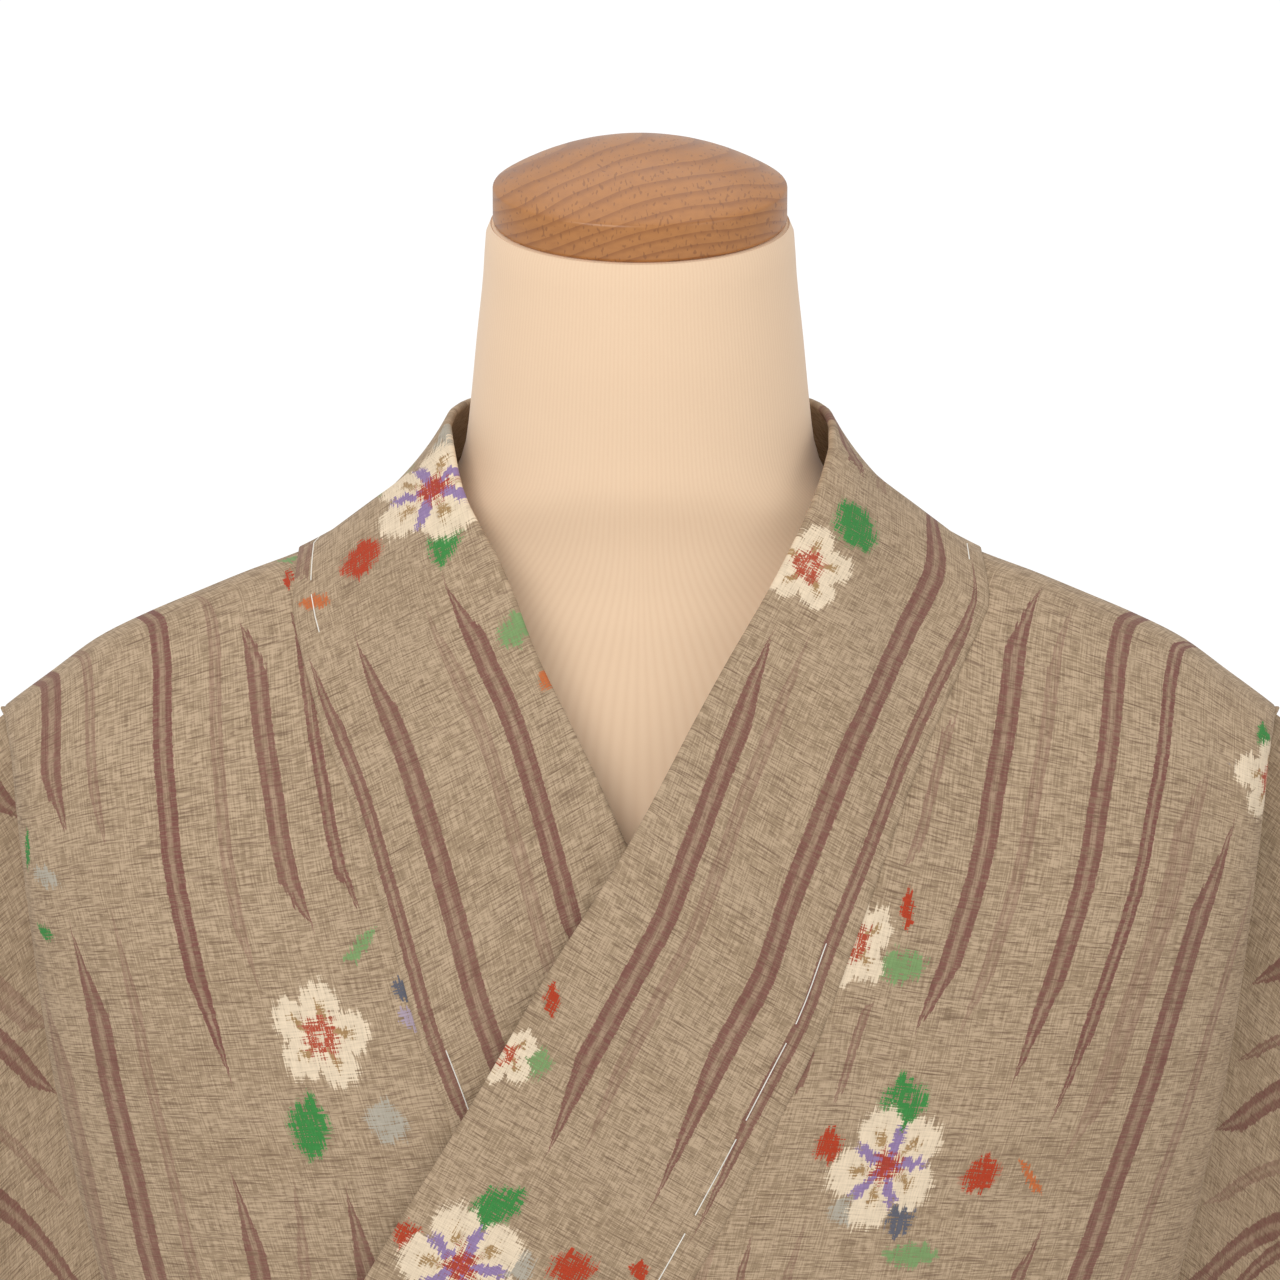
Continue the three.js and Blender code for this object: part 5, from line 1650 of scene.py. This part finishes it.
class KIMONO_OT_trunk(bpy.types.Operator):
    """Make the padded trunk and neck of the dress form in ribbed jersey"""

    bl_idname = "kimono.trunk"
    bl_label = "Dress form"

    def execute(self, context):
        settings = context.scene.kimono.form
        sides = TRUNK_SIDES
        keys = [row[0] for row in FORM]
        heights = []
        for high, low in zip(keys, keys[1:]):
            count = max(1, round((high - low) / TRUNK_ROW))
            heights += [mix(high, low, i / count) for i in range(count)]
        heights.append(keys[-1])
        rings = []
        for z in heights:
            middle, half, front, back, square, lean = (column(z) for column in form_columns)
            inset = TRUNK_INSET * smooth(-36, -52, z)
            ring = []
            for k in range(sides):
                turn = 2 * math.pi * k / sides
                s, c = math.sin(turn), math.cos(turn)
                power = 2 / square
                deep = ((front if c > 0 else back) - inset) * sign(c) * abs(c) ** power
                tip = math.radians(lean)
                wide = (half - inset) * sign(s) * abs(s) ** power
                ring.append(Vector((wide, middle - deep * math.cos(tip), z - deep * math.sin(tip))))
            rings.append(ring)
        rim = []
        centre = sum(rings[0], Vector()) / sides
        for share, rise in COVER_HEM:
            rim.append([centre.lerp(p, share) + Vector((0, 0, rise - HEM_SINK)) for p in rings[0]])
        rings = rim + rings
        points = [p for ring in rings for p in ring]
        uv, down = [], 0.0
        for i, ring in enumerate(rings):
            down += (ring[0] - rings[max(0, i - 1)][0]).length * MM
            uv += [(COVER_WIDTH * k / sides, -down) for k in range(sides)]
        faces = tube_faces(len(rings), sides, downward=True)
        piece = finish_mesh("form_trunk_smooth", points, faces, jersey_material(settings), uv, sharp=60)
        layer = piece.data.uv_layers["UVMap"].data
        for polygon in piece.data.polygons:
            corners = [layer[loop] for loop in polygon.loop_indices]
            places = [corner.uv.x for corner in corners]
            if len(corners) == 4 and max(places) - min(places) > COVER_WIDTH / 2:
                for corner in corners:
                    if corner.uv.x < COVER_WIDTH / 2:
                        corner.uv.x += COVER_WIDTH
        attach(piece, "root")
        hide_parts("form_trunk")
        return {"FINISHED"}


TURNED_SIDES = 128
POLE_SIDES = 48


class KIMONO_OT_stand(bpy.types.Operator):
    """Make the turned neck cap, the pole and the round base"""

    bl_idname = "kimono.stand"
    bl_label = "Cap, pole and base"

    def execute(self, context):
        settings = context.scene.kimono.form
        radius = settings.cap_width * TO_MM / 2
        rim, dome, edge = settings.cap_rim * TO_MM, settings.cap_dome * TO_MM, 1.6
        profile = [(radius - 3.0, 0.0), (radius - 1.2, 0.15), (radius - 0.3, 0.9), (radius, 2.2)]
        ball = (radius**2 + dome**2) / (2 * dome)
        profile += [
            (radius - edge + edge * math.cos(t), rim - edge * 0.6 + edge * math.sin(t))
            for t in (0.0, 0.35, 0.7, 1.0)
        ]
        for share in (0.965, 0.93, 0.88, 0.82, 0.75, 0.67, 0.58, 0.48, 0.37, 0.25, 0.12, 0.001):
            profile.append((radius * share, rim + dome - ball + math.sqrt(ball**2 - (radius * share) ** 2)))
        beech = beech_material(settings, "beech cap", (0.028, 0.11, 1.5), 0.0042)
        top, middle, lean = FORM[0][0], FORM[0][1], FORM[0][6]
        cap = lathe("neck_cap", profile, beech, TURNED_SIDES, (0, middle, top + 0.05), lean)
        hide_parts("form_cap")
        bottom = -NECK_POINT
        trunk = FORM[-1][0] - bottom
        tube = [(0.02, 18.0), (15.0, 18.0), (15.0, trunk), (0.02, trunk)]
        painted = plain_material("painted pole", colour(settings, "metal"), 0.4, 0.3)
        pole = lathe("stand_pole", tube, painted, POLE_SIDES, (0, 0, bottom))
        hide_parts("form_pole")
        disc = [
            (0.02, 0.0), (163.5, 0.0), (165.0, 1.5), (165.0, 14.5), (164.0, 17.0), (161.5, 18.0),
            (0.02, 18.0),
        ]
        beech = beech_material(settings, "beech base", (-0.05, 0.2, -0.16), 0.006)
        base = lathe("stand_base", disc, beech, TURNED_SIDES, (0, 0, bottom))
        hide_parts("form_base")
        for piece, slot in ((cap, "beech"), (pole, "stand_metal"), (base, "beech")):
            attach(piece, "root")
        return {"FINISHED"}


# Floor in metres, brightness of the backdrop where the camera sees it, the lights' aim below the neck, and
# the camera's sensor, both in millimetres.
FLOOR_RADIUS, FLOOR_SIDES = 3.5, 64
BACKDROP = 1.05
CHEST_DROP = 150
SENSOR_WIDTH = 36.0


class KIMONO_OT_studio(bpy.types.Operator):
    """Set the pale stage, the soft lights and the camera"""

    bl_idname = "kimono.studio"
    bl_label = "Studio"

    def execute(self, context):
        scene = context.scene
        settings = scene.kimono.studio
        paper, tree, shader = new_material("stage paper")
        feed_all(tree, shader.inputs, {"Base Color": (*settings.floor, 1.0), "Roughness": 0.9})
        mesh = bpy.data.meshes.new("floor")
        turns = [2 * math.pi * k / FLOOR_SIDES for k in range(FLOOR_SIDES)]
        ring = [(FLOOR_RADIUS * math.cos(turn), FLOOR_RADIUS * math.sin(turn), 0.0) for turn in turns]
        mesh.from_pydata(ring, [], [tuple(range(FLOOR_SIDES))])
        mesh.materials.append(paper)
        floor = bpy.data.objects.new("floor", mesh)
        scene.collection.objects.link(floor)

        world = bpy.data.worlds.new("studio")
        world.use_nodes = True
        sky = world.node_tree.nodes["Background"]
        sky.inputs[0].default_value = (1.0, 1.0, 1.0, 1.0)
        direct = world.node_tree.nodes.new("ShaderNodeLightPath").outputs["Is Camera Ray"]
        strength = node(world.node_tree, "ShaderNodeMapRange", {0: direct, 3: settings.sky, 4: BACKDROP})
        world.node_tree.links.new(strength.outputs[0], sky.inputs[1])
        scene.view_settings.view_transform = "Standard"
        scene.world = world
        chest = Vector((0.0, 0.0, (NECK_POINT - CHEST_DROP) * MM))
        for name, power, size, place in (
            ("key light", settings.key_power, 1.6, (-1.2, -2.3, 2.7)),
            ("fill light", settings.fill_power, 2.0, (2.3, -1.6, 1.9)),
            ("top light", settings.fill_power, 2.2, (0.0, 0.4, 3.8)),
        ):
            light = bpy.data.lights.new(name, "AREA")
            light.energy = power
            light.size = size
            lamp = bpy.data.objects.new(name, light)
            lamp.location = place
            lamp.rotation_euler = (chest - Vector(place)).to_track_quat("-Z", "Y").to_euler()
            scene.collection.objects.link(lamp)

        lens = bpy.data.cameras.new("camera")
        lens.sensor_width = SENSOR_WIDTH
        lens.lens = SENSOR_WIDTH * VIEW_DISTANCE / VIEW_WIDTH
        lens.clip_end = 50.0
        eye = bpy.data.objects.new("camera", lens)
        target = Vector((0.0, 0.0, (NECK_POINT + VIEW_DROP) * MM))
        tilt = math.radians(VIEW_HEIGHT_ANGLE)
        eye.location = target + Vector((0.0, -math.cos(tilt), math.sin(tilt))) * VIEW_DISTANCE * MM
        eye.rotation_euler = (target - eye.location).to_track_quat("-Z", "Y").to_euler()
        scene.collection.objects.link(eye)
        scene.camera = eye
        return {"FINISHED"}


class KIMONO_PT_panel(bpy.types.Panel):
    bl_idname = "KIMONO_PT_panel"
    bl_label = "Kimono"
    bl_space_type = "VIEW_3D"
    bl_region_type = "UI"
    bl_category = "Kimono"

    def draw(self, context):
        settings = context.scene.kimono
        for group in (settings.cloth, settings.stitches, settings.form, settings.studio):
            box = self.layout.box()
            for key in group.bl_rna.properties.keys():
                if key not in {"rna_type", "name"}:
                    box.prop(group, key)
        for step_class in STEPS:
            self.layout.operator(step_class.bl_idname)


STEPS = (
    KIMONO_OT_studio,
    KIMONO_OT_trunk,
    KIMONO_OT_stand,
    KIMONO_OT_body,
    KIMONO_OT_overlaps,
    KIMONO_OT_collar,
    KIMONO_OT_sleeves,
    KIMONO_OT_basting,
)
CLASSES = (
    KIMONO_PG_cloth, KIMONO_PG_stitches, KIMONO_PG_form, KIMONO_PG_studio, KIMONO_PG_settings, *STEPS,
    KIMONO_PT_panel,
)


def register():
    for each in CLASSES:
        bpy.utils.register_class(each)
    bpy.types.Scene.kimono = PointerProperty(type=KIMONO_PG_settings)


def unregister():
    del bpy.types.Scene.kimono
    for each in reversed(CLASSES):
        bpy.utils.unregister_class(each)


def main():
    register()
    for name in ("studio", "trunk", "stand", "body", "overlaps", "collar", "sleeves", "basting"):
        getattr(bpy.ops.kimono, name)()


if __name__ == "__main__":
    main()
